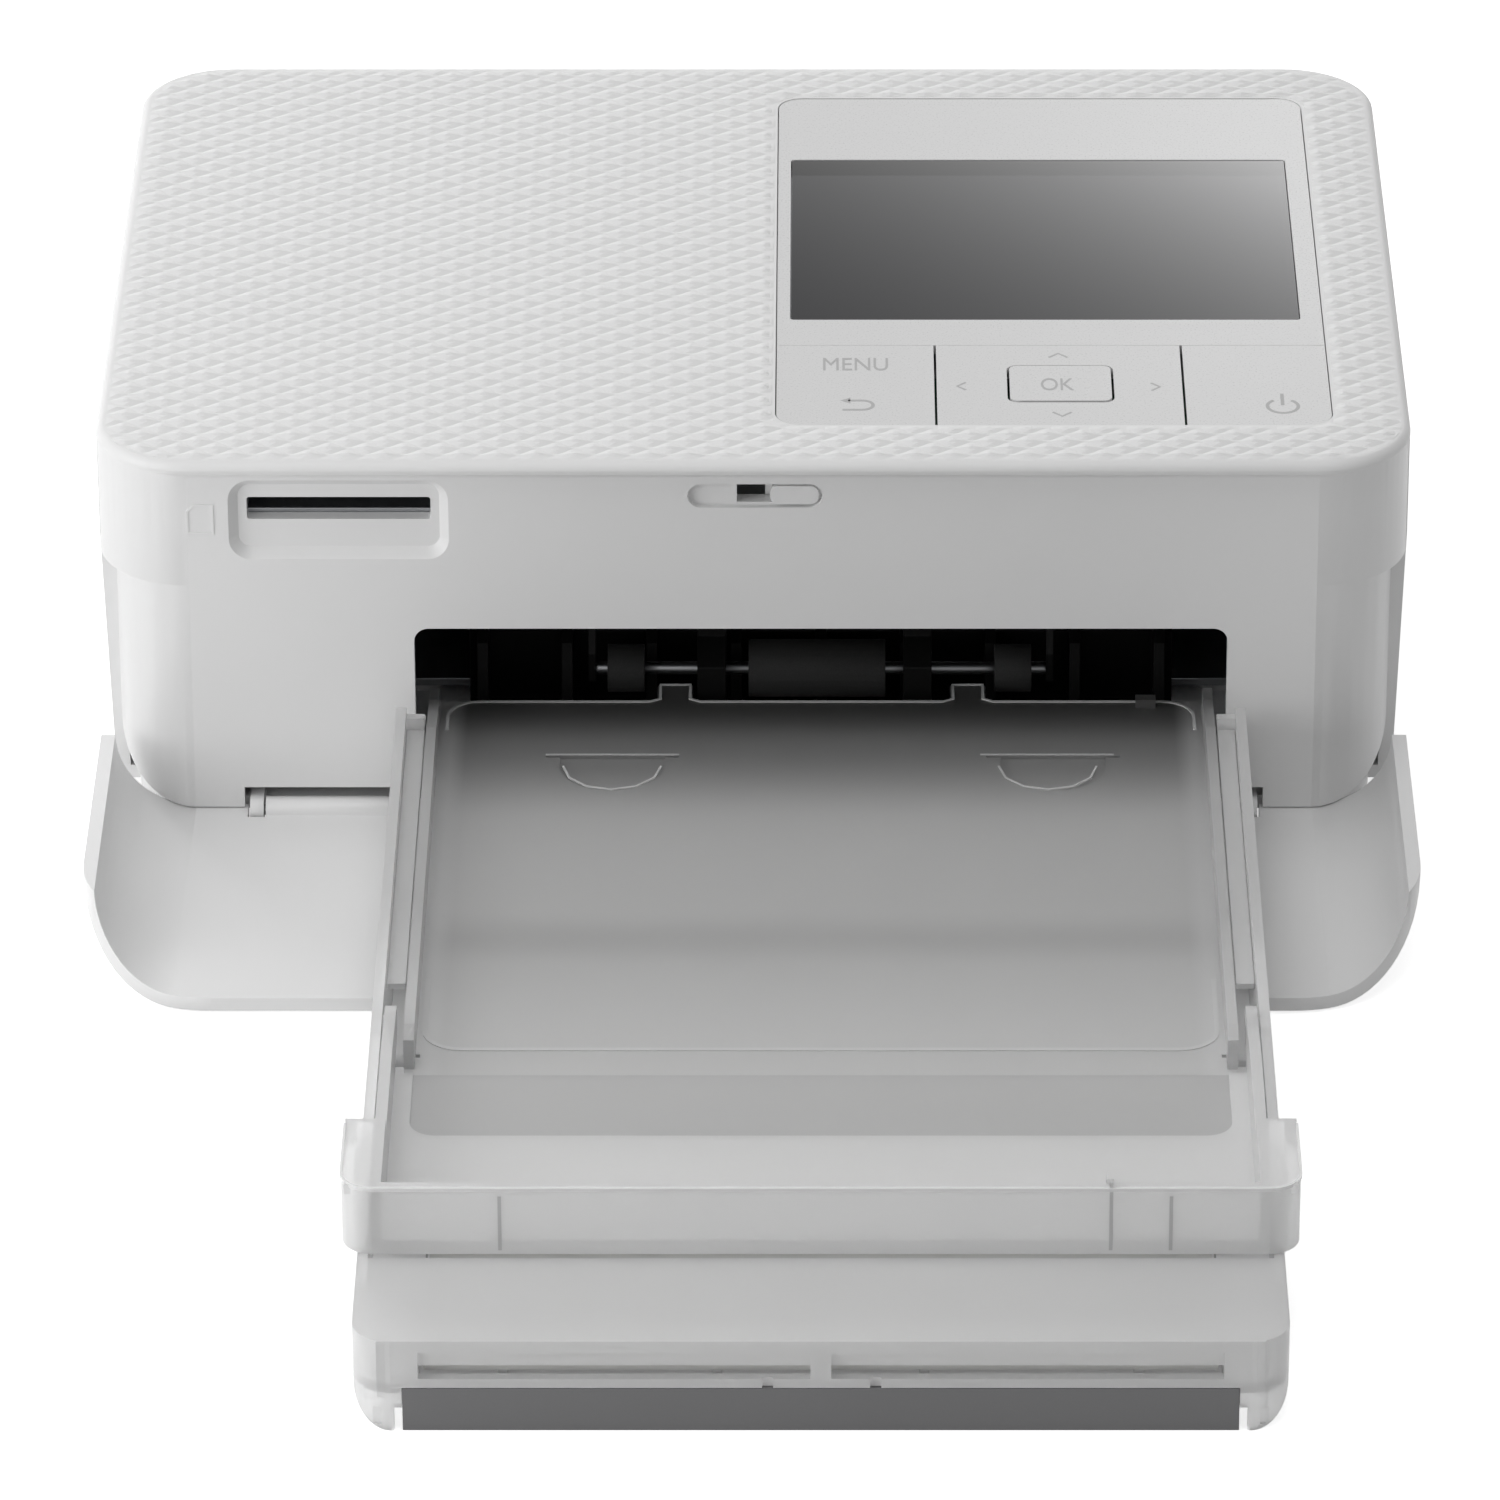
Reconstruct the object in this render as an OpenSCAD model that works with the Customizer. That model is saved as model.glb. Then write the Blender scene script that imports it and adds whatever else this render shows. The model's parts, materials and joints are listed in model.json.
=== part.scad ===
// Compact photo printer with its paper cassette in place and its front cover lying open.
// Drawn with X to the right, Y from the closed front edge (Y = 0) to the back, Z up from the table,
// then moved along Y so that the middle of the whole footprint is the origin.

/* [Body] */
// Width of the case
body_w = 182.2; // [150:0.1:220]
// Depth of the case
body_d = 133; // [120:0.5:180]
// Height of the case, feet included
body_h = 57.4; // [52:0.1:75]
// Radius of the upright corners in plan
corner_r = 13; // [9:0.5:16]
// Thickness of the moulded walls
wall = 2; // [1.6:0.1:2.6]
// Height of the rubber feet
foot_h = 1.2; // [0.8:0.1:2]
// Height of the parting line between the lower and the upper case
split_z = 12; // [10:0.5:13]
// How far the side walls lean in at the bottom
side_draft = 1.2; // [0:0.1:2]

/* [Front] */
// Distance of the front panel behind the closed front cover
panel_recess = 2.2; // [1.8:0.1:3]
// Centre of the cassette and of its opening, right of the middle
paper_x = 9.4; // [0:0.1:12]
// Width of the cassette opening
opening_w = 113; // [112.5:0.1:116]
// Top of the cassette opening
opening_top = 30.7; // [29:0.1:33]
// Centre of the card slot in X
card_x = -57.2; // [-62:0.1:-54]
// Centre of the card slot in Z
card_z = 48.7; // [46:0.1:49.5]
// Width of the card slot
card_w = 25.4; // [24.6:0.1:27]
// Height of the card slot
card_h = 3.4; // [2.8:0.1:3.8]
// Centre of the cover latch in X
latch_x = 0.3; // [-6:0.1:6]
// Centre of the cover latch in Z
latch_z = 51.3; // [49:0.1:52]
// Travel of the cover latch
latch_travel = 4; // [2:0.1:5]

/* [Front cover] */
// Thickness of the front cover
cover_t = 2; // [1.6:0.1:2.4]
// Depth of the rounded wings of the front cover
wing_d = 13; // [10:0.5:15]
// Height on the case that the closed front cover reaches
cover_top = 56; // [50:0.1:60]
// Radius of the free corners of the front cover
cover_corner_r = 18; // [12:0.5:24]
// Height of the cover hinge above the table
hinge_z = 2.3; // [2.1:0.1:2.4]
// Radius of the cover hinge barrels
barrel_r = 1.9; // [1.6:0.1:2]
// Radius of the cover hinge pins
pin_r = 0.75; // [0.6:0.05:1]

/* [Control panel] */
// Left edge of the control panel
ctrl_x0 = 3.2; // [0:0.1:6]
// Width of the control panel
ctrl_w = 77.1; // [76:0.1:82]
// Front edge of the control panel
ctrl_y0 = 12.1; // [10:0.1:14]
// Depth of the control panel
ctrl_d = 109.3; // [100:0.1:112]
// Length of the keys, from the front edge to their crease
key_d = 25.4; // [22:0.1:28]
// Width of the menu key
menu_w = 22.2; // [20:0.1:24]
// Width of the four-way key
nav_w = 34.6; // [32:0.1:36]
// Width of the OK key
ok_w = 14.2; // [12:0.1:16]
// Depth of the OK key
ok_d = 11.1; // [9:0.1:13]
// Width of the display window
window_w = 71.9; // [68:0.1:73]
// Depth of the display window
window_d = 53.8; // [50:0.1:56]

/* [Cassette] */
// Width of the cassette in front of the printer
tray_w = 118; // [116:0.5:122]
// Width of the cassette inside the printer
neck_w = 110.6; // [109:0.1:112]
// Distance from the printer's front edge to the cassette's front end
tray_reach = 157.9; // [150:0.1:175]
// How far the cassette goes into the printer
tray_in = 21; // [19:0.5:22]
// Height of the cassette floor above the table
tray_z = 5; // [4.9:0.1:5.4]
// Wall of the cassette
tray_t = 1.4; // [1:0.1:1.6]
// Height of the cassette's side rails above the table
rail_top = 20; // [18:0.5:20.5]
// Height of the inner lid's upper face above the table
lid_top = 13.3; // [12.8:0.1:13.6]
// Height of the catch tray's front lip above the table
lip_top = 23.2; // [21:0.1:24]
// Width of a sheet of paper
paper_w = 100; // [90:0.5:101]
// Thickness of the stack of paper
paper_t = 2.5; // [1:0.1:2.6]

/* [Mechanism] */
// Height of the paper path at the print head
path_z = 20; // [19:0.1:21]
// Distance of the platen roller from the front edge
platen_y = 75; // [72:0.1:76]
// Radius of the platen roller
platen_r = 6.5; // [5:0.1:7]
// Distance of the feed roller from the front edge
feed_y = 40; // [38:0.1:41]
// Radius of the feed roller
feed_r = 4; // [3:0.1:4.5]
// Radius of the pickup roller
pickup_r = 4.1; // [3.6:0.1:4.1]
// Tooth size (module) of the gears
gear_module = 0.8; // [0.7:0.05:0.85]
// Outer radius of the ink cartridge's two tubes
tube_r = 12; // [10:0.1:12]
// Distance between the ink cartridge's two tubes
tube_gap = 36; // [34:0.1:40]
// Size of the square cooling fan
fan_size = 30; // [25:1:30]

/* [Hidden] */
$fn = 64;
eps = 0.01;

// Clearances
fit = 0.05;      // shaft in a bore
slip = 0.3;      // moulded parts that move past each other
seam = 0.15;     // visible gap round keys and windows
crease = 0.04;   // each side of the score line that the keys bend at

// Whole-object frame
frame_y = (tray_reach - body_d)/2;
half_w = body_w/2;

// Case levels
floor_z = foot_h + wall;
plate_t = 1.4;
top_z = body_h - plate_t;
panel_y = panel_recess;
side_y = wing_d + 0.5;
wing_top = 39;
floor_front_hw = half_w - panel_recess - wall - slip;

// Front cover: closed face at Y = 0, so the open cover's outer face lies at hinge_z - hinge_y
hinge_y = barrel_r;
cover_half_w = half_w + 0.1;
cover_z = hinge_z - hinge_y;
cover_tip = hinge_y - (cover_top - hinge_z);
cover_rear = panel_y + 1.2;
knuckle_x0 = 49;
knuckle_x1 = 68.3;
ear_t = 1.9;

// Control panel
ctrl_r = 3.5;
ctrl_x1 = ctrl_x0 + ctrl_w;
ctrl_y1 = ctrl_y0 + ctrl_d;
crease_y = ctrl_y0 + key_d;
skin_t = 1.4;
skin_z = body_h - 0.1 - skin_t;
gap_a = ctrl_x0 + menu_w;
gap_b = gap_a + nav_w;
key_gap = 0.35;
ok_x = ctrl_x0 + ctrl_w/2 + 1.1;
ok_y = ctrl_y0 + 13.1;
window_x0 = ctrl_x0 + (ctrl_w - window_w)/2 - 0.6;
window_y0 = crease_y + 8.5;
ledge_w = 1.5;

// Cassette levels
tray_y0 = -tray_reach;
neck_y = -1;
tray_hw = tray_w/2;
neck_hw = neck_w/2;
tray_floor = tray_z + tray_t;
lid_t = 1.5;
lid_rear = 13.7;
lid_front = -92;
lid_pivot_y = -86.5;
lid_pivot_z = lid_top - lid_t/2;
lid_pin_r = 0.8;
catch_pivot_y = -86;
catch_floor = lid_top + 0.2;
lip_y = -137.3;
base_y = -137.6;
plate_z = 6.9;
paper_z = plate_z + 0.5;
paper_y0 = tray_y0 + 2.6;
paper_y1 = tray_in - 1.6;

// Mechanism places, as [Y, Z]
platen = [platen_y, path_z - platen_r];
feed = [feed_y, path_z - feed_r];
pickup = [22, 14.2];
plate_xl = paper_x - 61.4;
plate_xr = paper_x + 60.6;
sheet_t = 1.2;
chassis_z = 4.5;
chassis_top = 45;
tube_z = path_z + 2 + tube_r;
supply = [platen_y + 1 - tube_gap/2, tube_z];
take_up = [platen_y + 1 + tube_gap/2, tube_z];
tube_x0 = paper_x - 53.4;
tube_x1 = paper_x + 55.1;
gear_x = plate_xl - 8;
gear_t = 6;
gear_plate_x = gear_x - 3.4;
shaft_r = 2.5;
bush_r = 3.6;
pressure = 25;
mesh_slack = 0.15;
platen_teeth = 18;
idler_teeth = 30;
feed_teeth = 14;
pinion_teeth = 14;
head_pivot = [112, 17.6];
fan_x = -69;
fan_z = 32.5;
fan_y = 119;
fan_t = 8;
boss_x = half_w - 9.1;
foot_x = half_w - 17.1;

// Top rim and flare under it
rim_r = 1.2;
flare_r = 2;
flare_out = panel_recess - 0.3;

// Inner face of the front panel, with room for the case floor
front_in = panel_y + wall + 0.2;

// Lower edge of the front panel and the radius of its lower corners, clear of the open cover
panel_z0 = 2.6;
panel_corner = 10.6;

// Radius of the cassette opening's upper corners
opening_r = 2;

// Dished recess round the card slot, 1.5 deep with sloping walls
dish_depth = 1.5;
dish_slope = 1.3;

// Key board
key_board_t = 1.2;
key_board_z = top_z - 3.9;
switch_top = key_board_z + 2.2;
key_free = 0.4;
menu_stem = [ctrl_x0 + 11, ctrl_y0 + 8];
power_stem = [ctrl_x1 - 8, ctrl_y0 + 8];
nav_stems = [[gap_a + 5, ok_y], [gap_b - 5, ok_y], [ok_x, ctrl_y0 + 3.2], [ok_x, crease_y - 3.4]];
key_posts = [for (x = [ctrl_x0 - 2.6, ctrl_x1 + 2.6], y = [ctrl_y0 + 1, crease_y - 4]) [x, y]];

// Main board, side port and power inlet
board_z = card_z - 3.4;
board_t = 1.6;
board_x0 = -half_w + 7.1;
board_x1 = -3;
board_y1 = 34;
board_posts = [[board_x0 + 4, 10], [board_x0 + 4, 30], [-57, 12], [-57, 28]];
usb_y = 27;
usb_z = board_z + board_t + 1.65;
jack_x = -66;
jack_z = 8;

// Ink door
door_z0 = 17.5;
door_z1 = top_z - 2.1;
door_knuckle = 2.2;
door_py = 113.4;
door_px = half_w - door_knuckle;

// Film, rollers and motor
film_hw = 50.5;
film_t = 0.12;
supply_wound = tube_r - 3.6;
take_up_wound = tube_r - 6;
pinch_r = 2.6;
pickup_shaft_r = 0.9;
motor_x1 = gear_plate_x;
motor_r = 11;

// Foot strip of the cassette, and the catch tray's outer and arm widths
strip_hw = 52.7;
strip_gap = 1;
base_r = 5;
catch_pivot = [catch_pivot_y, 17.9];
arm_out = tray_hw - tray_t - slip;
wing_out = tray_hw + 2;

// Distance between two meshing gears
function gear_span(a, b) = gear_module*(a + b)/2 + mesh_slack;
// Angle in degrees that an involute has turned at radius r, from base radius b
function involute_angle(r, b) = sqrt(max(0, pow(r/b, 2) - 1))*180/PI - acos(min(1, b/r));
// Direction from point p to point q
function heading(p, q) = atan2(q[1] - p[1], q[0] - p[0]);
// Point where a line from q touches a circle of radius r round c, on side s
function touch(c, q, r, s) =
    let (a = heading(c, q) + s*acos(r/norm(q - c))) c + r*[cos(a), sin(a)];
// Phase of a gear of n teeth at q that meshes with a gear of m teeth and phase f at p
function mesh_phase(p, q, m, f, n) =
    heading(p, q) + 180 - 180/n - (f - heading(p, q))*m/n;
// Point at distances rp from p and rq from q, above the line p to q
function above(p, q, rp, rq) =
    let (d = norm(q - p), u = (q - p)/d, a = (rp*rp - rq*rq + d*d)/(2*d), h = sqrt(rp*rp - a*a))
    p + a*u + h*[u[1], -u[0]];

idler = above(platen, feed, gear_span(platen_teeth, idler_teeth), gear_span(feed_teeth, idler_teeth));
pinion = platen + gear_span(platen_teeth, pinion_teeth)*[cos(60), sin(60)];
platen_phase = 0;
idler_phase = mesh_phase(platen, idler, platen_teeth, platen_phase, idler_teeth);
feed_phase = mesh_phase(idler, feed, idler_teeth, idler_phase, feed_teeth);
pinion_phase = mesh_phase(platen, pinion, platen_teeth, platen_phase, pinion_teeth);

// ---------- shapes that repeat ----------

// Rounded rectangle, centred in X, from y = 0 to y = d
module rounded_outline(w, d, r) {
    translate([-w/2 + r, 0]) square([w - 2*r, d]);
    if (d > 2*r) translate([-w/2, r]) square([w, d - 2*r]);
    for (x = [-1, 1], y = [r, d - r]) translate([x*(w/2 - r), y]) circle(r);
}

// Rounded rectangle between two corners
module rounded_box(x0, y0, x1, y1, r) {
    translate([(x0 + x1)/2, y0]) rounded_outline(x1 - x0, y1 - y0, r);
}

// A profile carried round a rounded rectangle: the profile's x is the distance outside the outline
module around(w, d, r) {
    spans = [d - 2*r, w - 2*r, d - 2*r, w - 2*r];
    for (k = [0:3]) {
        cx = (k == 0 || k == 3) ? w/2 - r : r - w/2;
        cy = k < 2 ? d - r : r;
        translate([cx, cy, 0]) rotate([0, 0, 90*k]) {
            rotate_extrude(angle = 90) translate([r, 0]) children();
            translate([r, 0, 0]) rotate([90, 0, 0]) linear_extrude(spans[k]) children();
        }
    }
}

// Block between two corners
module block(a, b) {
    translate(a) cube(b - a);
}

// Rod along X from x0 to x1 at p = [Y, Z]
module rod(p, r, x0, x1) {
    translate([x0, p[0], p[1]]) rotate([0, 90, 0]) cylinder(r = r, h = x1 - x0);
}

// A [Y, Z] profile extruded along X from x0 to x1
module along_x(x0, x1) {
    translate([x0, 0, 0]) rotate([90, 0, 90]) linear_extrude(x1 - x0) children();
}

// An [X, Z] profile extruded along Y from y0 to y1
module along_y(y0, y1) {
    translate([0, y1, 0]) rotate([90, 0, 0]) linear_extrude(y1 - y0) children();
}

// The same piece on both sides of the middle
module both_sides() {
    children();
    mirror([1, 0, 0]) children();
}

// The same piece on both sides of the cassette's middle
module cassette_sides() {
    translate([paper_x, 0, 0]) both_sides() children();
}

// Involute gear outline with n teeth, tooth 0 pointing at the angle phase
module gear_outline(n, phase) {
    pitch = gear_module*n/2;
    base = pitch*cos(pressure);
    tip = pitch + gear_module*0.9;
    root = pitch - gear_module*1.2;
    low = max(base, root);
    half = 90/n - 0.06/pitch*180/PI + involute_angle(pitch, base);
    radii = [low, (low + pitch)/2, pitch, (pitch + tip)/2, tip];
    flank = concat([[root, half]], [for (r = radii) [r, half - involute_angle(r, base)]]);
    last = len(flank) - 1;
    tooth = concat([for (s = flank) [s[0], -s[1]]], [for (i = [last:-1:0]) flank[i]]);
    polygon([for (k = [0:n - 1], s = tooth)
        let (a = phase + 360*k/n) s[0]*[cos(a + s[1]), sin(a + s[1])]]);
}

// Spur gear at p with a bore and a hub towards the chassis
module gear(p, n, phase, bore) {
    difference() {
        union() {
            translate([0, p[0], p[1]]) along_x(gear_x, gear_x + gear_t) gear_outline(n, phase);
            rod(p, bore + 1.4, gear_x, gear_x + gear_t + 0.8);
        }
        rod(p, bore, gear_x - 1, gear_x + gear_t + 2);
    }
}

// Screw hole positions of the case
module at_bosses() {
    for (x = [-boss_x, boss_x], y = [side_y + 7, body_d - 11]) translate([x, y, 0]) children();
}

// How far inside the outline the drafted side stands at height z
function draft(z) = -side_draft*max(0, 1 - z/40);

// ---------- case ----------

module lower_case() {
    color("gainsboro") difference() {
        union() {
            // floor
            translate([0, 0, foot_h]) linear_extrude(wall) {
                difference() {
                    rounded_outline(body_w - 2*side_draft - 1, body_d - 1, corner_r);
                    translate([-half_w, -1]) square([body_w, side_y + 1]);
                }
                rounded_box(-floor_front_hw, front_in, floor_front_hw, side_y + 12,
                    corner_r - panel_recess - wall - slip);
            }
            // side and rear walls
            difference() {
                around(body_w, body_d, corner_r) polygon([
                    [draft(foot_h) - wall - 1, foot_h], [draft(foot_h) - 1, foot_h],
                    [draft(foot_h), foot_h + 1], [draft(split_z), split_z], [draft(split_z) - wall, split_z],
                    [draft(floor_z) - wall, floor_z]]);
                block([-half_w - 1, -1, 0], [half_w + 1, side_y, split_z + 1]);
            }
            // screw bosses
            at_bosses() translate([0, 0, foot_h]) cylinder(r = 4, h = split_z - foot_h);
            // seats for the chassis and runners under the cassette
            for (x = [plate_xl + 4, plate_xr - 4], y = [40, 108])
                translate([x, y, foot_h]) cylinder(r = 4, h = chassis_z - foot_h);
            cassette_sides() block([neck_hw - 6, front_in, foot_h], [neck_hw - 1, 24, tray_z - 0.2]);
            // posts of the main board
            for (p = board_posts)
                translate([p[0], p[1], foot_h]) cylinder(r = 2.5, h = board_z - foot_h);
            // ears of the cover hinge
            both_sides() for (x = [knuckle_x0 - slip - ear_t, knuckle_x1 + slip]) {
                rod([hinge_y, hinge_z], barrel_r, x, x + ear_t);
                block([x, hinge_y, foot_h], [x + ear_t, 6, hinge_z + barrel_r]);
            }
        }
        both_sides() rod([hinge_y, hinge_z], pin_r, knuckle_x0 - 4, knuckle_x1 + 4);
        at_bosses() {
            translate([0, 0, -1]) cylinder(r = 1.3, h = split_z + 2);
            translate([0, 0, -1]) cylinder(r = 3, h = 3.6);
        }
        // socket opening in the rear wall
        translate([jack_x, body_d - 6, jack_z]) rotate([-90, 0, 0]) cylinder(r = 3.3, h = 12);
        // air slots in the floor
        for (x = [-30:6:48]) block([x, 62, -1], [x + 2.4, 92, floor_z + 1]);
    }
}

module upper_case() {
    color("whitesmoke") difference() {
        union() {
            difference() {
                around(body_w, body_d, corner_r) polygon([
                    [draft(split_z) - wall, split_z], [draft(split_z), split_z], [0, 40], [0, top_z],
                    [-wall, top_z], [-wall, 40]]);
                block([-half_w - 1, -1, 0], [half_w + 1, side_y, top_z + 1]);
            }
            // screw bosses with their webs to the side walls
            difference() {
                at_bosses() union() {
                    translate([0, 0, split_z]) cylinder(r = 4, h = 4.4);
                    block([-8, -1.2, split_z], [8, 1.2, split_z + 4.4]);
                }
                block([-half_w + 11, 0, 0], [half_w - 11, body_d, 60]);
                difference() {
                    block([-half_w - 5, -5, 0], [half_w + 5, body_d + 5, 60]);
                    translate([0, 1, 0]) linear_extrude(60)
                        rounded_outline(body_w - 2, body_d - 2, corner_r - 1);
                }
            }
            // seats for the fan
            for (x = [-1, 1], z = [-1, 1])
                translate([fan_x + x*(fan_size/2 - 3), fan_y + fan_t, fan_z + z*(fan_size/2 - 3)])
                    rotate([-90, 0, 0]) cylinder(r = 2.2, h = body_d - fan_y - fan_t - wall/2);
            // lugs of the ink door pin
            for (z = [door_z0 - slip - 1.5, door_z1 + slip])
                translate([door_px, door_py, z]) {
                    cylinder(r = 2.1, h = 1.5);
                    block([-1, 0, 0], [1.4, 6, 1.5]);
                }
        }
        // ink door opening
        block([half_w - 8, side_y + 0.5, door_z0 - slip], [half_w + 2, door_py, door_z1 + slip]);
        block([door_px, door_py - 1, door_z0 - slip],
            [half_w + 2, door_py + door_knuckle + slip, door_z1 + slip]);
        translate([door_px, door_py, door_z0 - slip])
            cylinder(r = door_knuckle + slip, h = door_z1 - door_z0 + 2*slip);
        translate([door_px, door_py, door_z0 - 3]) cylinder(r = 0.9, h = door_z1 - door_z0 + 6);
        // screws from below
        at_bosses() translate([0, 0, split_z - 1]) cylinder(r = 1.3, h = 4.4);
        // paper slot in the rear wall
        along_y(body_d - 6, body_d + 1)
            rounded_box(paper_x - 53, path_z - 1.7, paper_x + 53, path_z + 2, 1.2);
        // air grille behind the fan
        for (i = [-3:3], j = [-3:3])
            translate([fan_x + 3.6*i, body_d - 5, fan_z + 3.6*j])
                rotate([-90, 0, 0]) cylinder(r = 1.25, h = 8);
        // lead socket opening in the left wall
        translate([-half_w - 1, usb_y, usb_z]) rotate([90, 0, 90]) linear_extrude(6)
            translate([0, -1.7]) rounded_outline(9.4, 3.4, 1.6);
    }
}

module top_cover() {
    color("white") difference() {
        union() {
            // plate with a rounded upper edge
            translate([0, rim_r, top_z]) linear_extrude(body_h - top_z)
                rounded_outline(body_w - 2*rim_r, body_d - 2*rim_r, corner_r - rim_r);
            around(body_w, body_d, corner_r) {
                translate([-rim_r - eps, top_z]) square([rim_r + eps, body_h - rim_r - top_z]);
                intersection() {
                    translate([-rim_r, body_h - rim_r]) circle(rim_r);
                    translate([-rim_r - eps, body_h - rim_r - eps]) square(2*rim_r);
                }
            }
            // lip inside the case walls
            difference() {
                around(body_w, body_d, corner_r) polygon([
                    [-wall - 1.6, top_z - 2.4], [-wall - 0.2, top_z - 2.4], [-wall - 0.2, top_z + eps],
                    [-wall - 1.6, top_z + eps]]);
                block([-half_w - 1, -1, 0], [half_w + 1, side_y + 2, top_z]);
                block([half_w - 9, side_y, 0], [half_w + 1, door_py + 6, top_z]);
            }
            // ledge that carries the control panel
            translate([0, 0, skin_z - 1.3]) linear_extrude(top_z - skin_z + 1.3 + eps) difference() {
                rounded_box(ctrl_x0 - 2, crease_y + 1, ctrl_x1 + 2, ctrl_y1 + 2, 4);
                rounded_box(ctrl_x0 + ledge_w, crease_y, ctrl_x1 - ledge_w, ctrl_y1 - ledge_w, 2);
            }
            // posts of the key board
            for (p = key_posts)
                translate([p[0], p[1], key_board_z]) cylinder(r = 2, h = top_z - key_board_z + eps);
        }
        // opening of the control panel
        translate([0, 0, skin_z]) linear_extrude(5)
            rounded_box(ctrl_x0 - seam, ctrl_y0 - seam, ctrl_x1 + seam, ctrl_y1 + seam, ctrl_r + seam);
        translate([0, 0, top_z - 6]) linear_extrude(10)
            rounded_box(ctrl_x0 - seam, ctrl_y0 - seam, ctrl_x1 + seam, crease_y + 1, ctrl_r + seam);
        translate([0, 0, top_z - 6]) linear_extrude(10)
            rounded_box(ctrl_x0 + ledge_w, crease_y, ctrl_x1 - ledge_w, ctrl_y1 - ledge_w, 2);
    }
}

// Cut of a shallow recess in the front panel whose walls slope out to the surface
module dished_recess(x0, z0, x1, z1, r) {
    w = x1 - x0;
    d = z1 - z0;
    translate([(x0 + x1)/2, panel_y + dish_depth, z0]) rotate([90, 0, 0]) {
        linear_extrude(dish_depth + 1) rounded_outline(w, d, r);
        around(w, d, r) polygon([[-0.1, 0], [0, 0], [dish_slope, dish_depth], [dish_slope, dish_depth + 1],
            [-0.1, dish_depth + 1]]);
    }
}

// Front wall behind the cover: recessed, wrapped round both front corners, flared to the top rim
module front_panel() {
    low_r = corner_r - panel_recess;
    color("white") difference() {
        union() {
            // lower part, narrow enough for the cover's wings
            difference() {
                translate([0, panel_y, panel_z0]) linear_extrude(wing_top - panel_z0) difference() {
                    rounded_outline(body_w - 2*panel_recess, body_d, low_r);
                    translate([0, wall])
                        rounded_outline(body_w - 2*panel_recess - 2*wall, body_d, low_r - wall);
                }
                // rounded lower corners in front view
                along_y(-1, side_y + 1) difference() {
                    for (x = [-half_w - 1, half_w + 1 - panel_corner - 2])
                        translate([x, 0]) square([panel_corner + 2, panel_z0 + panel_corner]);
                    translate([0, panel_z0]) rounded_outline(body_w - 2*panel_recess, 60, panel_corner);
                }
            }
            // upper part, out to the case's side faces
            translate([0, panel_y, wing_top]) linear_extrude(top_z - wing_top) difference() {
                rounded_outline(body_w, body_d, corner_r);
                translate([0, wall]) rounded_outline(body_w - 2*wall, body_d, corner_r - wall);
            }
            // shelf between the two widths
            translate([0, panel_y, wing_top - 1.6]) linear_extrude(2.6) difference() {
                rounded_outline(body_w, body_d, corner_r);
                translate([0, wall + 1])
                    rounded_outline(body_w - 2*panel_recess - 2*wall, body_d, low_r - wall);
            }
            // flare under the top rim
            around(body_w, body_d, corner_r) difference() {
                translate([-panel_recess - 0.5, top_z - 2.8]) square([flare_out + 0.5, 2.8]);
                translate([flare_out - panel_recess, top_z - 0.5 - flare_r]) circle(flare_r);
                translate([-panel_recess, top_z - 3]) square([3, 2.5 - flare_r]);
            }
            // backs of the card slot and of the latch
            block([card_x - 16.5, panel_y + 1, card_z - 6.8],
                [card_x + 16.5, panel_y + 3.6, card_z + 4.8]);
            block([latch_x - 11, panel_y + 1, latch_z - 3], [latch_x + 11, panel_y + 3.4, latch_z + 2.9]);
        }
        block([-half_w - 1, side_y, 0], [half_w + 1, body_d + 5, body_h]);
        // cassette opening, open at the bottom
        along_y(-1, 10)
            rounded_box(paper_x - opening_w/2, -10, paper_x + opening_w/2, opening_top, opening_r);
        // notches for the cover hinge
        both_sides() block([knuckle_x0 - 3, -1, 0], [knuckle_x1 + 3, 10, 5.7]);
        // card slot in its dished recess
        dished_recess(card_x - 13.9, card_z - 5.9, card_x + 13.9, card_z + 3.7, 1.8);
        along_y(-1, 10) rounded_box(card_x - card_w/2, card_z - card_h/2,
            card_x + card_w/2, card_z + card_h/2, 0.4);
        // latch pill with the hole that the cover's hook goes into
        along_y(-1, panel_y + 1)
            rounded_box(latch_x - 9.3, latch_z - 1.8, latch_x + 9.3, latch_z + 1.8, 1.8);
        along_y(-1, 10) translate([latch_x - 2.5, latch_z - 1.4]) square([latch_travel + 5.5, 2.8]);
        // level top for the top cover to rest on
        block([-half_w - 1, -1, top_z], [half_w + 1, side_y + 1, body_h + 1]);
    }
}

module rubber_feet() {
    color("dimgray") for (x = [-foot_x, foot_x], y = [side_y + 2.5, body_d - 11])
        translate([x, y, 0]) rotate_extrude()
            polygon([[0, 0], [4.4, 0], [5, 0.5], [5, foot_h], [0, foot_h]]);
}

module case_screws() {
    color("silver") at_bosses() {
        translate([0, 0, 2.6]) cylinder(r = 1.25, h = split_z);
        translate([0, 0, 1.1]) difference() {
            cylinder(r = 2.6, h = 1.5);
            translate([0, 0, -eps]) linear_extrude(0.8) union() {
                square([3, 0.7], center = true);
                square([0.7, 3], center = true);
            }
        }
    }
}

// ---------- front cover ----------

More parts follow.
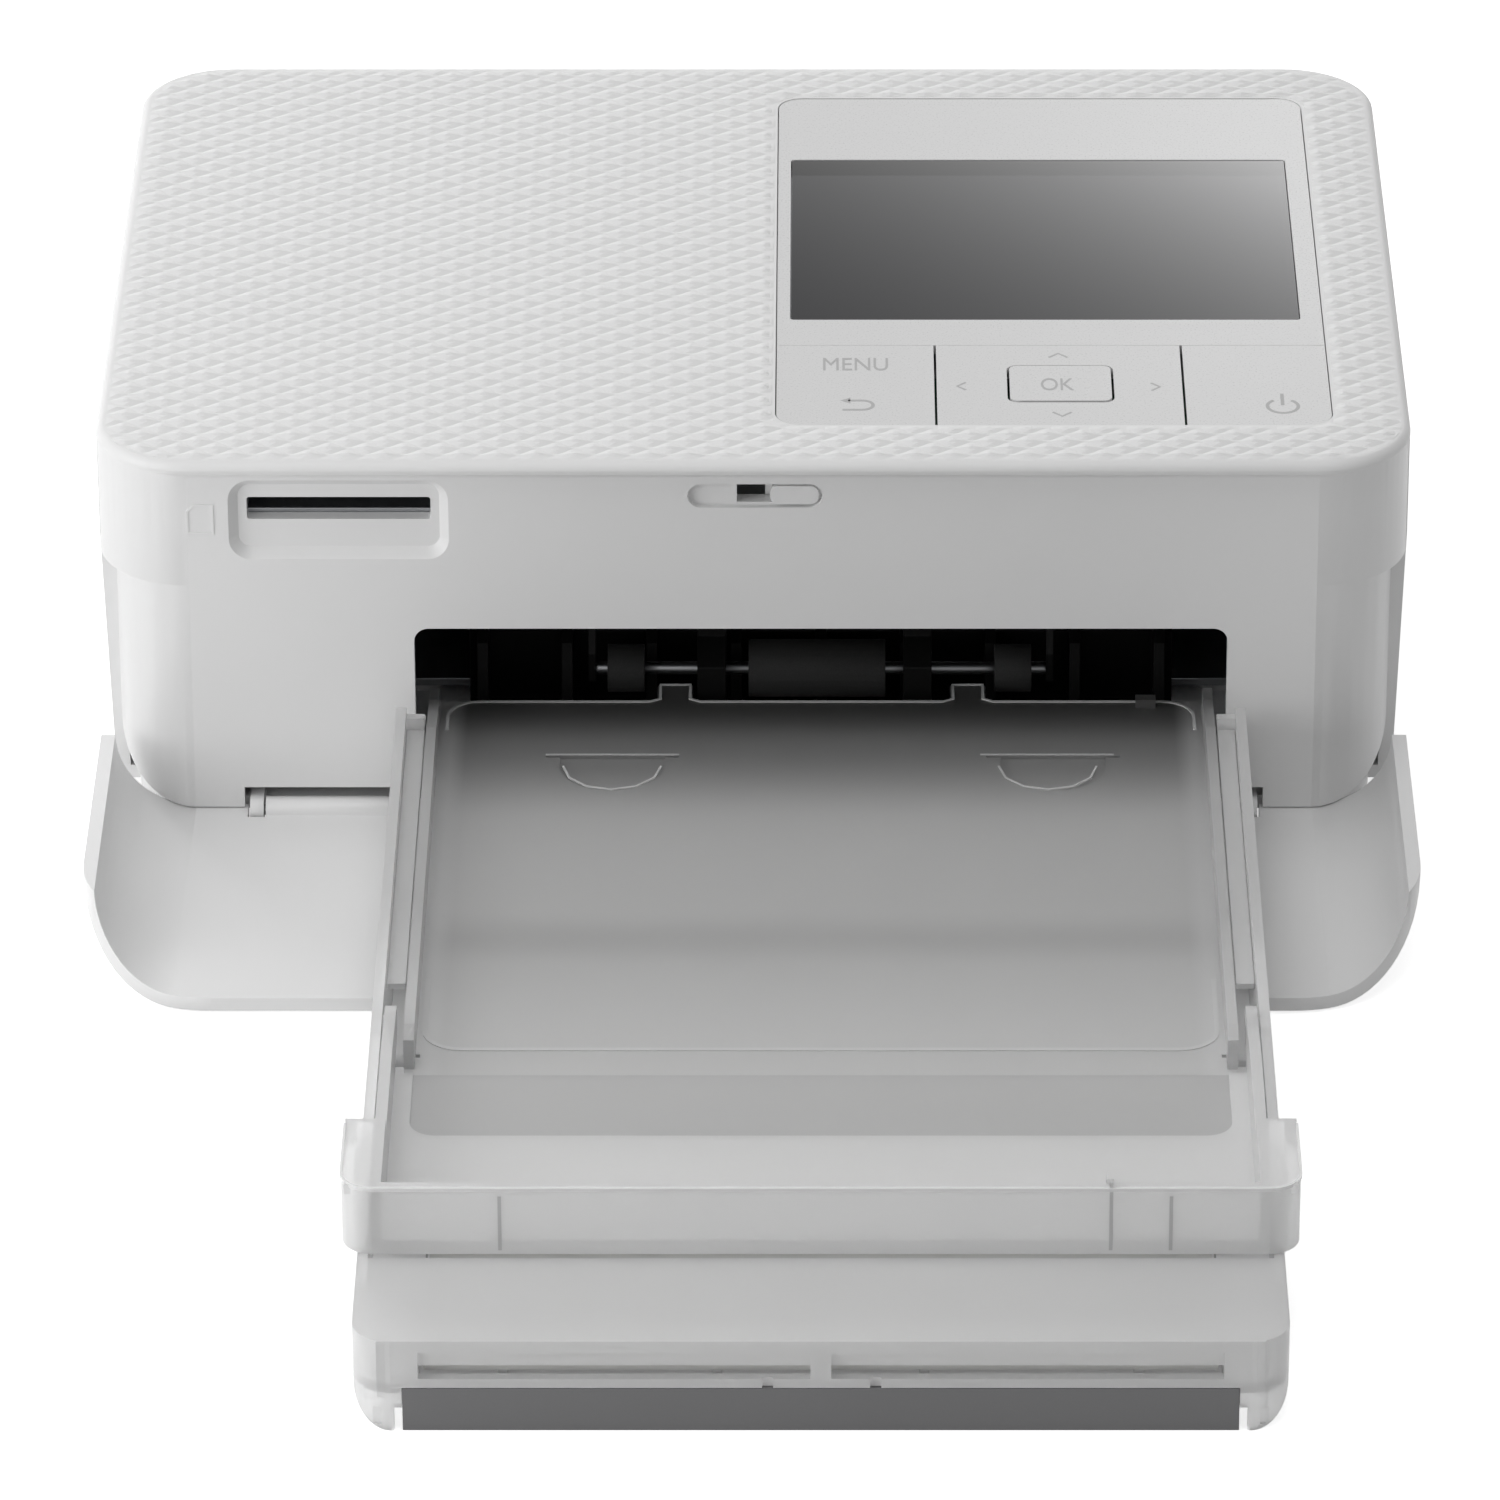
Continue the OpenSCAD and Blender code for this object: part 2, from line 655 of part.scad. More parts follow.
// Shallow trough of the open cover: a flat plate with wings that curve up, and rounded free corners
module cover_trough() {
    r = wing_d;
    top = cover_z + wing_d;
    intersection() {
        along_y(cover_tip, cover_rear) difference() {
            union() {
                translate([-cover_half_w, top]) square([2*cover_half_w, eps]);
                translate([-cover_half_w + r, cover_z]) square([2*cover_half_w - 2*r, r + eps]);
                for (s = [-1, 1]) translate([s*(cover_half_w - r), top]) circle(r);
            }
            translate([-cover_half_w + r, cover_z + cover_t]) square([2*cover_half_w - 2*r, 3*r]);
            for (s = [-1, 1]) translate([s*(cover_half_w - r), top]) circle(r - cover_t);
            translate([-cover_half_w - 1, top]) square([2*cover_half_w + 2, 3*r]);
        }
        translate([0, cover_tip, cover_z - 1]) linear_extrude(40)
            rounded_outline(2*cover_half_w, 120, cover_corner_r);
    }
}

module front_cover() {
    hook_y = hinge_y - (latch_z - hinge_z);
    color("white") difference() {
        union() {
            difference() {
                cover_trough();
                // the plate stops short of the case between the hinges, at the barrels and at the ears
                block([-knuckle_x0, -0.4, -1], [knuckle_x0, 10, 20]);
                both_sides() {
                    block([knuckle_x0 - 1, hinge_y, -1], [knuckle_x1 + 1, 10, 20]);
                    block([knuckle_x1, -0.4, -1], [knuckle_x1 + ear_t + 2*slip, 10, 20]);
                }
            }
            both_sides() rod([hinge_y, hinge_z], barrel_r, knuckle_x0, knuckle_x1);
            // hook that the latch holds when the cover is shut
            block([latch_x - 1.6, hook_y - 1, cover_z + cover_t - 0.2],
                [latch_x + 1.4, hook_y + 1, cover_z + cover_t + 1.4]);
        }
        both_sides() rod([hinge_y, hinge_z], pin_r + fit, knuckle_x0 - 1, knuckle_x1 + 1);
    }
}

module cover_hinge_pins() {
    color("silver") both_sides()
        rod([hinge_y, hinge_z], pin_r, knuckle_x0 - slip - ear_t, knuckle_x1 + slip + ear_t);
}

module latch_slider() {
    x = latch_x - 2.2 + latch_travel;
    color("white") union() {
        // knob seen in the pill
        along_y(panel_y + 0.2, panel_y + 0.95)
            rounded_box(x + 0.3, latch_z - 1.4, latch_x + 8.8, latch_z + 1.4, 1.2);
        // stem through the panel and the blade behind it
        block([x + 0.6, panel_y + 0.9, latch_z - 1.1], [x + 3, panel_y + 4, latch_z + 1.1]);
        block([x - 0.4, panel_y + 3.6, latch_z - 2.6], [latch_x + 9.5, panel_y + 4.6, latch_z + 2]);
    }
}

// ---------- control panel ----------

module control_panel() {
    color("whitesmoke") translate([0, 0, skin_z]) linear_extrude(skin_t) difference() {
        intersection() {
            rounded_box(ctrl_x0, ctrl_y0, ctrl_x1, ctrl_y1, ctrl_r);
            translate([ctrl_x0, crease_y + crease]) square([ctrl_w, ctrl_d]);
        }
        rounded_box(window_x0 - seam, window_y0 - seam, window_x0 + window_w + seam,
            window_y0 + window_d + seam, 0.6);
    }
}

module display_window() {
    color("dimgray") translate([0, 0, skin_z]) linear_extrude(skin_t - 0.1)
        rounded_box(window_x0, window_y0, window_x0 + window_w, window_y0 + window_d, 0.5);
}

module display_module() {
    color("silver") difference() {
        block([window_x0 - 0.4, crease_y + 2, skin_z - 5],
            [window_x0 + window_w + 0.4, window_y0 + window_d + 5, skin_z]);
        block([window_x0 + 3, window_y0 - 4, skin_z - 6],
            [window_x0 + window_w - 3, window_y0 + window_d, skin_z - 4]);
    }
}

// One flexing key plate between x0 and x1, with the stem that presses its switch
module key_plate(x0, x1, stems) {
    translate([0, 0, skin_z]) linear_extrude(skin_t) intersection() {
        rounded_box(ctrl_x0, ctrl_y0, ctrl_x1, ctrl_y1, ctrl_r);
        translate([x0, ctrl_y0]) square([x1 - x0, key_d - crease]);
    }
    for (p = stems) translate([p[0], p[1], switch_top + key_free])
        cylinder(r = 1.5, h = skin_z - switch_top - key_free + eps);
}

module menu_key() {
    color("whitesmoke") key_plate(ctrl_x0, gap_a - key_gap/2, [menu_stem]);
}

module four_way_key() {
    color("whitesmoke") difference() {
        key_plate(gap_a + key_gap/2, gap_b - key_gap/2, nav_stems);
        translate([ok_x, ok_y - ok_d/2 - key_gap, skin_z - 1]) linear_extrude(5)
            rounded_outline(ok_w + 2*key_gap, ok_d + 2*key_gap, 1.5);
    }
}

module ok_key() {
    color("whitesmoke") union() {
        translate([ok_x, ok_y - ok_d/2, skin_z]) linear_extrude(skin_t + 0.1)
            rounded_outline(ok_w, ok_d, 1.2);
        translate([ok_x, ok_y, switch_top + key_free])
            cylinder(r = 1.5, h = skin_z - switch_top - key_free + eps);
    }
}

module power_key() {
    color("whitesmoke") key_plate(gap_b + key_gap/2, ctrl_x1, [power_stem]);
}

module key_board() {
    color("seagreen") union() {
        block([ctrl_x0 - 4.6, ctrl_y0 - 1.5, key_board_z - key_board_t],
            [ctrl_x1 + 4.6, crease_y, key_board_z]);
        for (p = concat([menu_stem, power_stem, [ok_x, ok_y]], nav_stems)) {
            translate([p[0] - 2.2, p[1] - 2.2, key_board_z]) cube([4.4, 4.4, 1.6]);
            translate([p[0], p[1], key_board_z]) cylinder(r = 1.3, h = switch_top - key_board_z);
        }
    }
}

// ---------- electronics ----------

module main_board() {
    color("seagreen") union() {
        block([board_x0, 7, board_z], [board_x1, board_y1, board_z + board_t]);
        block([-34, 12, board_z + board_t], [-20, 26, board_z + board_t + 1.2]);
        block([-15, 10, board_z + board_t], [-8, 20, board_z + board_t + 1]);
        for (y = [12, 18, 24]) translate([-76, y, board_z + board_t]) cylinder(r = 2, h = 4);
    }
}

module card_socket() {
    z0 = board_z + board_t;
    color("silver") difference() {
        block([card_x - card_w/2 - 1.5, panel_y + 3.7, z0],
            [card_x + card_w/2 + 1.5, 31, card_z + card_h/2 + 0.8]);
        block([card_x - card_w/2, panel_y, card_z - card_h/2 + 0.6],
            [card_x + card_w/2, 28, card_z + card_h/2 - 0.2]);
    }
}

module usb_socket() {
    z0 = board_z + board_t;
    color("silver") translate([-half_w + wall + 0.3, usb_y, z0]) difference() {
        rotate([90, 0, 90]) linear_extrude(8) rounded_outline(9, 3.3, 1.2);
        translate([-1, 0, 0.35]) rotate([90, 0, 90]) linear_extrude(7) rounded_outline(8.3, 2.6, 1);
    }
    color("black") block([-half_w + wall + 0.8, usb_y - 3.2, usb_z - 0.35],
        [-half_w + wall + 8, usb_y + 3.2, usb_z + 0.35]);
}

module power_jack() {
    color("black") difference() {
        block([jack_x - 5, body_d - wall - 13, floor_z],
            [jack_x + 5, body_d - wall - 0.6 - side_draft, jack_z + 5]);
        translate([jack_x, body_d - wall - 9, jack_z]) rotate([-90, 0, 0]) cylinder(r = 2.8, h = 12);
    }
    color("silver") translate([jack_x, body_d - wall - 10, jack_z])
        rotate([-90, 0, 0]) cylinder(r = 0.9, h = 7);
}

// ---------- ink door and ink cartridge ----------

// What the lean of the case's side takes off the ink door
module door_lean() {
    out = half_w + draft(door_z0);
    polygon([[out, door_z0 - 1], [out, door_z0], [half_w, 40], [half_w + 1, 40],
        [half_w + 1, door_z0 - 1]]);
}

module ink_door() {
    color("white") difference() {
        union() {
            difference() {
                block([half_w - wall, side_y + 1.4, door_z0], [half_w, door_py, door_z1]);
                // the outer face follows the lean of the case's side
                along_y(0, body_d) door_lean();
                // finger notch at the front edge
                translate([half_w + 1.6, side_y + 1, 33]) sphere(r = 5);
            }
            translate([door_px, door_py, door_z0]) cylinder(r = door_knuckle, h = door_z1 - door_z0);
            // stiffening ribs inside
            for (z = [24, 42])
                block([half_w - wall - 2, side_y + 8, z], [half_w - wall + eps, door_py - 6, z + 1.2]);
        }
        translate([door_px, door_py, door_z0 - 1]) cylinder(r = 0.9 + fit, h = door_z1 - door_z0 + 2);
        along_y(door_py - 5, door_py + 5) door_lean();
    }
}

module ink_door_pin() {
    color("silver") translate([door_px, door_py, door_z0 - slip - 1.3])
        cylinder(r = 0.9, h = door_z1 - door_z0 + 2*slip + 2.6);
}

module ink_cartridge() {
    film_slot = 7;
    color("lightgray") difference() {
        union() {
            for (p = [supply, take_up]) rod(p, tube_r, tube_x0, tube_x1);
            // bridges at both ends, above the print head
            for (x = [tube_x0, tube_x1 - 5])
                block([x, supply[0], tube_z + 4.5], [x + 5, take_up[0], tube_z + 8.5]);
            // grip at the door end
            block([tube_x1 - eps, supply[0] + 6, tube_z + 3], [tube_x1 + 11, take_up[0] - 6, tube_z + 5]);
            block([tube_x1 - 1, supply[0], tube_z + 3], [tube_x1, take_up[0], tube_z + 8.5]);
        }
        for (p = [supply, take_up]) {
            rod(p, tube_r - 1.2, tube_x0 + 1.2, tube_x1 - 1.2);
            rod(p, 3.05, tube_x0 - 1, tube_x1 + 1);
        }
        // slots that the film runs through, low on the facing sides
        block([tube_x0 + 2, supply[0] + 1, 0], [tube_x1 - 2, supply[0] + film_slot + 6, tube_z - 4]);
        block([tube_x0 + 2, take_up[0] - film_slot - 6, 0], [tube_x1 - 2, take_up[0] - 1, tube_z - 4]);
    }
}

module ink_film() {
    // the film runs from spool to spool, close below the head's heater ridge
    near = [platen_y - 6.6, path_z + 0.7];
    far = [platen_y + 6.6, path_z + 0.7];
    path = [touch(supply, near, supply_wound + 2*film_t, -1), near, [platen_y - 1, path_z + 0.3],
        [platen_y + 1, path_z + 0.3], far, touch(take_up, far, take_up_wound + 2*film_t, 1)];
    color("indigo") along_x(paper_x - film_hw + slip, paper_x + film_hw - slip)
        polygon(concat(path, [for (i = [len(path) - 1:-1:0]) path[i] - [0, film_t]]));
}

// Spool between the ends of a cartridge tube, with film wound to radius r
module spool(p, r) {
    rod(p, 3, tube_x0 - 0.4, tube_x1 + 0.4);
    rod(p, r, paper_x - film_hw, paper_x + film_hw);
    for (x = [paper_x - film_hw - 0.9, paper_x + film_hw])
        rod(p, min(r + 1, tube_r - 1.6), x, x + 0.9);
}

module supply_spool() {
    color("indigo") spool(supply, supply_wound);
}

module take_up_spool() {
    color("dimgray") spool(take_up, take_up_wound);
}

// ---------- chassis and drive ----------

module plate_outline() {
    difference() {
        translate([20.5, chassis_z]) square([97.5, chassis_top - chassis_z]);
        translate([20.5, 27]) rotate(25) translate([-30, 0]) square([30, 40]);
    }
}

module chassis() {
    color("silver") difference() {
        union() {
            along_x(plate_xl, plate_xl + sheet_t) plate_outline();
            along_x(plate_xr, plate_xr + sheet_t) difference() {
                plate_outline();
                // the ink cartridge goes in through here
                rounded_box(supply[0] - tube_r - 1.5, path_z + 1.2,
                    take_up[0] + tube_r + 1.5, chassis_top + 8, 3);
            }
            // pan and cross members
            block([plate_xl, 35, chassis_z], [plate_xr + sheet_t, 110, chassis_z + sheet_t]);
            block([plate_xl, 20.5, 26.5], [plate_xr + sheet_t, 33, 26.5 + sheet_t]);
            block([plate_xl, 116.8, 26], [plate_xr + sheet_t, 118, chassis_top]);
            // rails that the ink cartridge slides on
            for (y = [supply[0] - 5, take_up[0] - 1])
                block([plate_xl, y, path_z + 0.8], [plate_xr + sheet_t, y + 6, path_z + 1.7]);
        }
        for (p = [platen, feed]) rod(p, bush_r, plate_xl - 1, plate_xr + 3);
        rod([feed_y, path_z + 0.4 + pinch_r], 1.55, plate_xl - 1, plate_xr + 3);
        rod(head_pivot, 1.5, plate_xl - 1, plate_xr + 3);
        // air openings in the pan and lightening holes in the left plate
        for (x = [-36:12:48]) translate([x, 98, chassis_z - 1]) cylinder(r = 3, h = 4);
        for (p = [supply, take_up]) rod(p, 6, plate_xl - 1, plate_xl + 3);
    }
}

module gear_plate() {
    color("silver") difference() {
        union() {
            along_x(gear_plate_x, gear_plate_x + sheet_t)
                rounded_box(feed_y - 7, 7, platen_y + 22, 41, 3);
            // spacers to the chassis
            for (p = [[feed_y - 2, 32], [platen_y - 7, 37], [platen_y + 17, 11]])
                rod(p, 2.5, gear_plate_x, plate_xl);
            // post that carries the idler gear
            rod(idler, 2, gear_plate_x, plate_xl);
        }
        rod(pinion, 4, gear_plate_x - 1, gear_plate_x + 2);
        rod(platen, 4, gear_plate_x - 1, gear_plate_x + 2);
        rod(feed, 4, gear_plate_x - 1, gear_plate_x + 2);
    }
}

module shaft_bushes() {
    color("white") for (p = [platen, feed], x = [plate_xl - 0.8, plate_xr - 1]) difference() {
        union() {
            rod(p, bush_r, x, x + 3);
            collar = x < 0 ? plate_xl + sheet_t : plate_xr - 1;
            rod(p, bush_r + 1, collar, collar + 1);
        }
        rod(p, shaft_r + fit, x - 1, x + 5);
    }
}

module platen_roller() {
    color("dimgray") union() {
        rod(platen, platen_r, paper_x - 54, paper_x + 54);
        rod(platen, shaft_r, gear_x - 0.6, plate_xr + 3);
    }
}

module feed_roller() {
    color("silver") union() {
        rod(feed, feed_r, paper_x - 54, paper_x + 54);
        rod(feed, shaft_r, gear_x - 0.6, plate_xr + 3);
    }
}

module pinch_roller() {
    p = [feed_y, path_z + 0.4 + pinch_r];
    color("silver") union() {
        rod(p, pinch_r, paper_x - 52, paper_x + 52);
        rod(p, 1.5, plate_xl - 0.6, plate_xr + sheet_t + 0.6);
    }
}

module platen_gear() {
    color("white") gear(platen, platen_teeth, platen_phase, shaft_r);
}

module feed_gear() {
    color("white") gear(feed, feed_teeth, feed_phase, shaft_r);
}

module idler_gear() {
    color("white") gear(idler, idler_teeth, idler_phase, 2 + fit);
}

module motor_pinion() {
    color("goldenrod") difference() {
        translate([0, pinion[0], pinion[1]]) along_x(gear_x, gear_x + gear_t)
            gear_outline(pinion_teeth, pinion_phase);
        rod(pinion, 1.5, gear_x - 1, gear_x + gear_t + 1);
    }
    color("silver") rod(pinion, 1.5, motor_x1 + fit, gear_x + gear_t);
}

module drive_motor() {
    color("dimgray") union() {
        rod(pinion, motor_r, motor_x1 - 20, motor_x1 - 1.2);
        along_x(motor_x1 - 1.2, motor_x1)
            translate([pinion[0], pinion[1] - 6]) rounded_outline(36, 12, 5.9);
    }
}

module thermal_head() {
    color("darkgray") difference() {
        union() {
            // head bar with its heater ridge
            block([plate_xl + 2.4, platen_y - 6, path_z + 0.9],
                [plate_xr - 1.4, platen_y + 6, path_z + 3.6]);
            rod([platen_y, path_z + 1.3], 0.9, paper_x - 51, paper_x + 51);
            // arms to the pivot, outside the paper
            for (x = [plate_xl + 2.4, plate_xr - 3.8])
                along_x(x, x + 2.4) polygon([[platen_y - 6, path_z + 0.9], [platen_y + 3.5, path_z + 0.9],
                    [platen_y + 7, 16.6], [head_pivot[0], head_pivot[1] - 2.4],
                    [head_pivot[0] + 2.4, head_pivot[1]], [head_pivot[0], head_pivot[1] + 2.4],
                    [platen_y + 8, path_z + 0.1],
                    [platen_y + 6, path_z + 2], [platen_y - 6, path_z + 2]]);
        }
        for (x = [plate_xl + 2, plate_xr - 4]) rod(head_pivot, 1.5 + fit, x, x + 3.4);
    }
}

module heat_sink() {
    x0 = paper_x - 50;
    color("silver") union() {
        block([x0, platen_y - 3.5, path_z + 3.6], [paper_x + 50, platen_y + 5.5, path_z + 5.4]);
        for (y = [-3.5:2.6:4.4])
            block([x0, platen_y + y, path_z + 5.3], [paper_x + 50, platen_y + y + 1.1, path_z + 12.5]);
    }
}

module head_pivot_pins() {
    color("silver") {
        rod(head_pivot, 1.5, plate_xl - 0.6, plate_xl + 6);
        rod(head_pivot, 1.5, plate_xr - 5, plate_xr + sheet_t + 0.6);
    }
}

module pickup_shaft() {
    color("silver") rod(pickup, pickup_shaft_r, paper_x - 31.8, paper_x + 32.6);
}

module pickup_rollers() {
    color("dimgray") difference() {
        union() {
            rod(pickup, pickup_r, -0.8, 18.5);
            rod(pickup, 3.4, -20.7, -15.5);
            rod(pickup, 3.4, 33.9, 39.1);
        }
        rod(pickup, pickup_shaft_r, -30, 50);
    }
}

module pickup_bracket() {
    color("dimgray") difference() {
        union() {
            for (x = [-8, 21]) along_x(x, x + 4) polygon([[16.6, 12], [18.6, 10.6], [26, 10.6], [28, 15],
                [30, 26.5], [20.6, 26.5], [20.6, 20], [16.6, 17]]);
            // thin hangers near the shaft's ends
            for (x = [-23.4, 41.2]) along_x(x, x + 1) polygon([
                [20.8, 12.6], [23.4, 12.6], [24, 16], [28, 24.6], [28, 26.5], [24, 26.5], [20.8, 17]]);
            block([-24, 20.6, 24.5], [42.6, 32, 26.5]);
        }
        rod(pickup, pickup_shaft_r + fit, -30, 50);
    }
}

// Ribbed ramp that lifts the sheet from the cassette to the feed roller
module paper_guide() {
    color("dimgray") union() {
        for (x = [-48:12:48]) along_x(paper_x + x - 0.8, paper_x + x + 0.8)
            polygon([[25, floor_z], [34.6, floor_z], [34.6, path_z - 1], [32, path_z - 1.4],
                [28, path_z - 5], [25.4, 7.2]]);
        block([paper_x - 50, 28, floor_z], [paper_x + 50, 33.8, floor_z + 1.2]);
        block([paper_x - 50, 31.6, floor_z], [paper_x + 50, 33.2, path_z - 5]);
    }
}

module rear_guide() {
    rear_in = body_d - wall + draft(path_z - 2) - 0.2;
    color("dimgray") union() {
        block([paper_x - 50.5, platen_y + 9, path_z - 1.8], [paper_x + 50.5, rear_in, path_z - 0.6]);
        for (x = [-44:11:44]) block([paper_x + x - 0.5, platen_y + 9, path_z - 0.7],
            [paper_x + x + 0.5, rear_in, path_z - 0.3]);
    }
}

module fan_frame() {
    color("black") difference() {
        translate([fan_x, 0, 0]) along_y(fan_y, fan_y + fan_t)
            translate([0, fan_z - fan_size/2]) rounded_outline(fan_size, fan_size, 3);
        translate([fan_x, fan_y - 1, fan_z]) rotate([-90, 0, 0])
            cylinder(r = fan_size/2 - 1.2, h = fan_t + 2);
    }
    // hub carrier with three spokes on the outlet side
    color("black") translate([fan_x, fan_y + fan_t - 1.2, fan_z]) rotate([-90, 0, 0]) union() {
        cylinder(r = 4.6, h = 1.2);
        for (a = [0:120:240])
            rotate([0, 0, a]) translate([0, -0.7, 0]) cube([fan_size/2 - 0.6, 1.4, 1.2]);
    }
}

module fan_rotor() {
    color("black") translate([fan_x, fan_y + 0.6, fan_z]) rotate([-90, 0, 0]) union() {
        cylinder(r = 6.2, h = fan_t - 2.1);
        for (a = [0:7]) rotate([0, 0, a*360/7]) translate([4, -0.5, 0.4]) rotate([35, 0, 0])
            translate([0, -0.4, -0.6]) cube([fan_size/2 - 6, 0.8, 5.6]);
    }
}

// ---------- cassette ----------

// Cassette outline between y0 and y1 with rounded front corners
module front_rounded(hw, y0, y1, r) {
    translate([-hw, y0 + r]) square([2*hw, y1 - y0 - r]);
    translate([-hw + r, y0]) square([2*hw - 2*r, r + eps]);
    for (x = [-1, 1]) translate([x*(hw - r), y0 + r]) circle(r);
}

// Front view of the base step: upright sides with rounded lower corners
module base_face(hw, z0, r) {
    translate([-hw, z0 + r]) square([2*hw, lid_top]);
    translate([-hw + r, z0]) square([2*hw - 2*r, r + eps]);
    for (x = [-1, 1]) translate([x*(hw - r), z0 + r]) circle(r);
}

module cassette_tray() {
    front_r = 5;
    base_top = lid_top - 0.2;
    color("lightgray") difference() {
        translate([paper_x, 0, 0]) union() {
            // floor of the wide part and of the neck
            translate([0, 0, tray_z]) linear_extrude(tray_t) union() {
                front_rounded(tray_hw, tray_y0, neck_y, front_r);
                translate([-neck_hw, neck_y - 1]) square([2*neck_hw, tray_in - neck_y + 1]);
            }
            // base step at the front, down to the table
            intersection() {
                difference() {
                    linear_extrude(base_top) front_rounded(tray_hw, tray_y0, base_y, front_r);
                    translate([0, 0, -1]) linear_extrude(tray_z + 1)
                        front_rounded(tray_hw - tray_t, tray_y0 + tray_t, base_y + 1, front_r - tray_t);
                    translate([0, 0, tray_floor]) linear_extrude(base_top - tray_t - tray_floor)
                        front_rounded(tray_hw - tray_t, tray_y0 + tray_t, base_y + 1, front_r - tray_t);
                }
                along_y(tray_y0 - 1, base_y + 1) base_face(tray_hw, 0, base_r);
            }
            // side rails
            both_sides() {
                block([tray_hw - tray_t, -134, tray_z], [tray_hw, neck_y, rail_top]);
                block([tray_hw - tray_t, base_y - 1, tray_z], [tray_hw, -133, catch_floor - 0.4]);
                // shoulder where the cassette narrows to enter the printer
                block([neck_hw - 0.2, neck_y - tray_t, tray_z], [tray_hw, neck_y, rail_top - 1]);
                block([neck_hw - tray_t, neck_y - 1, tray_z], [neck_hw, tray_in, lid_top - lid_t - 0.3]);
                // guides beside the paper
                block([paper_w/2 + 0.5, paper_y0, tray_z], [paper_w/2 + 1.4, 14, paper_z + 2]);
                // stop ribs at the front corners, with their small hooks
                translate([tray_hw - 4.2, tray_y0, tray_z]) cube([1, 2.4, base_top - tray_z]);
                translate([tray_hw - 5.2, tray_y0 + 1, base_top - 3]) cube([2, 1.4, 1]);
            }
            // low wall at the printer end and ribs under the paper
            block([-neck_hw, tray_in - 1.2, tray_z], [neck_hw, tray_in, 7.2]);
            for (x = [-40, -13, 13, 40]) block([x - 0.6, paper_y0, tray_z], [x + 0.6, -33, paper_z]);
            // middle rib behind the front wall
            block([-0.6, tray_y0 + 1, tray_z], [0.6, paper_y0 - 0.3, base_top - 0.6]);
        }
        translate([paper_x, 0, 0]) {
            // recess of the foot strip, with an open gap beside each of its ends
            block([-strip_hw, tray_y0 - 1, -1], [strip_hw, tray_y0 + 2.2, 6.3]);
            both_sides() block([strip_hw - 1, tray_y0 - 1, -1], [strip_hw + strip_gap, tray_y0 + 6, 3.4]);
            // two slots above it, each low in a shallow recess
            for (x = [-50.6, 1.3]) {
                block([x, tray_y0 - 1, 7.6], [x + 49.3, tray_y0 + 5, 9.2]);
                block([x, tray_y0 - 1, 9.1], [x + 49.3, tray_y0 + 0.7, 11.4]);
            }
            // two nicks in the bar between the strip and the slots
            for (x = [-6.7, 6.9]) block([x - 0.7, tray_y0 - 1, 6.2], [x + 0.7, tray_y0 + 0.5, 7.7]);
            both_sides() {
                rod(catch_pivot, 1.2 + eps, tray_hw - 2, tray_hw + 1);
                rod([lid_pivot_y, lid_pivot_z], lid_pin_r, neck_hw, tray_hw - 0.4);
                // hollow at the foot of each front corner
                block([strip_hw + 2.6, tray_y0 - 1, 0.8], [strip_hw + 4.2, tray_y0 + 0.6, 3.2]);
            }
        }
    }
}

module cassette_foot_strip() {
    color("dimgray") translate([paper_x, 0, 0])
        block([-strip_hw + 0.05, tray_y0, 0], [strip_hw - 0.05, tray_y0 + 2.2, 6.2]);
}

module inner_lid() {
    hw = neck_hw - 0.5;
    color("lightgray") difference() {
        translate([paper_x, 0, lid_top - lid_t]) union() {
            linear_extrude(lid_t) translate([0, lid_front]) rounded_outline(2*hw, lid_rear - lid_front, 2);
            // tabs that lie between the pickup rollers
            for (x = [-20.5, 20.7])
                translate([x, lid_rear - 2, 0]) linear_extrude(lid_t) rounded_outline(5, 7.2, 1);
            // small stop at the rear edge
            block([44.2, lid_rear - 2.2, lid_t - eps], [47, lid_rear - 0.6, lid_t + 1.3]);
            // side flanges that guide the finished print
            both_sides() along_x(hw - 1.4, hw) polygon([
                [lid_front + 2, lid_t - eps], [lid_rear - 2, lid_t - eps], [lid_rear - 6, lid_t + 3.4],
                [-4, lid_t + 5.2], [lid_front + 5, lid_t + 5.2], [lid_front + 2, lid_t + 4.4]]);
            // hinge eyes near the front
            both_sides() rod([lid_pivot_y, lid_t/2], lid_pin_r + 1, hw - 1.4, hw);
        }
        // half-moon finger marks
        for (x = [-29, 32.3]) translate([paper_x + x, -2.6, lid_top - 0.6]) {
            translate([0, -3, 0]) intersection() {
                cylinder(r = 7.3, h = 2);
                block([-10, -10, -1], [10, eps, 3]);
            }
            block([-7.3, -3, 0], [7.3, 0, 2]);
            block([-9.3, -0.6, 0], [9.3, 0, 2]);
        }
        cassette_sides() rod([lid_pivot_y, lid_pivot_z], lid_pin_r + fit, hw - 2, hw + 1);
    }
}

module inner_lid_pins() {
    color("silver") cassette_sides()
        rod([lid_pivot_y, lid_pivot_z], lid_pin_r, neck_hw - 1.9, tray_hw - 0.4);
}

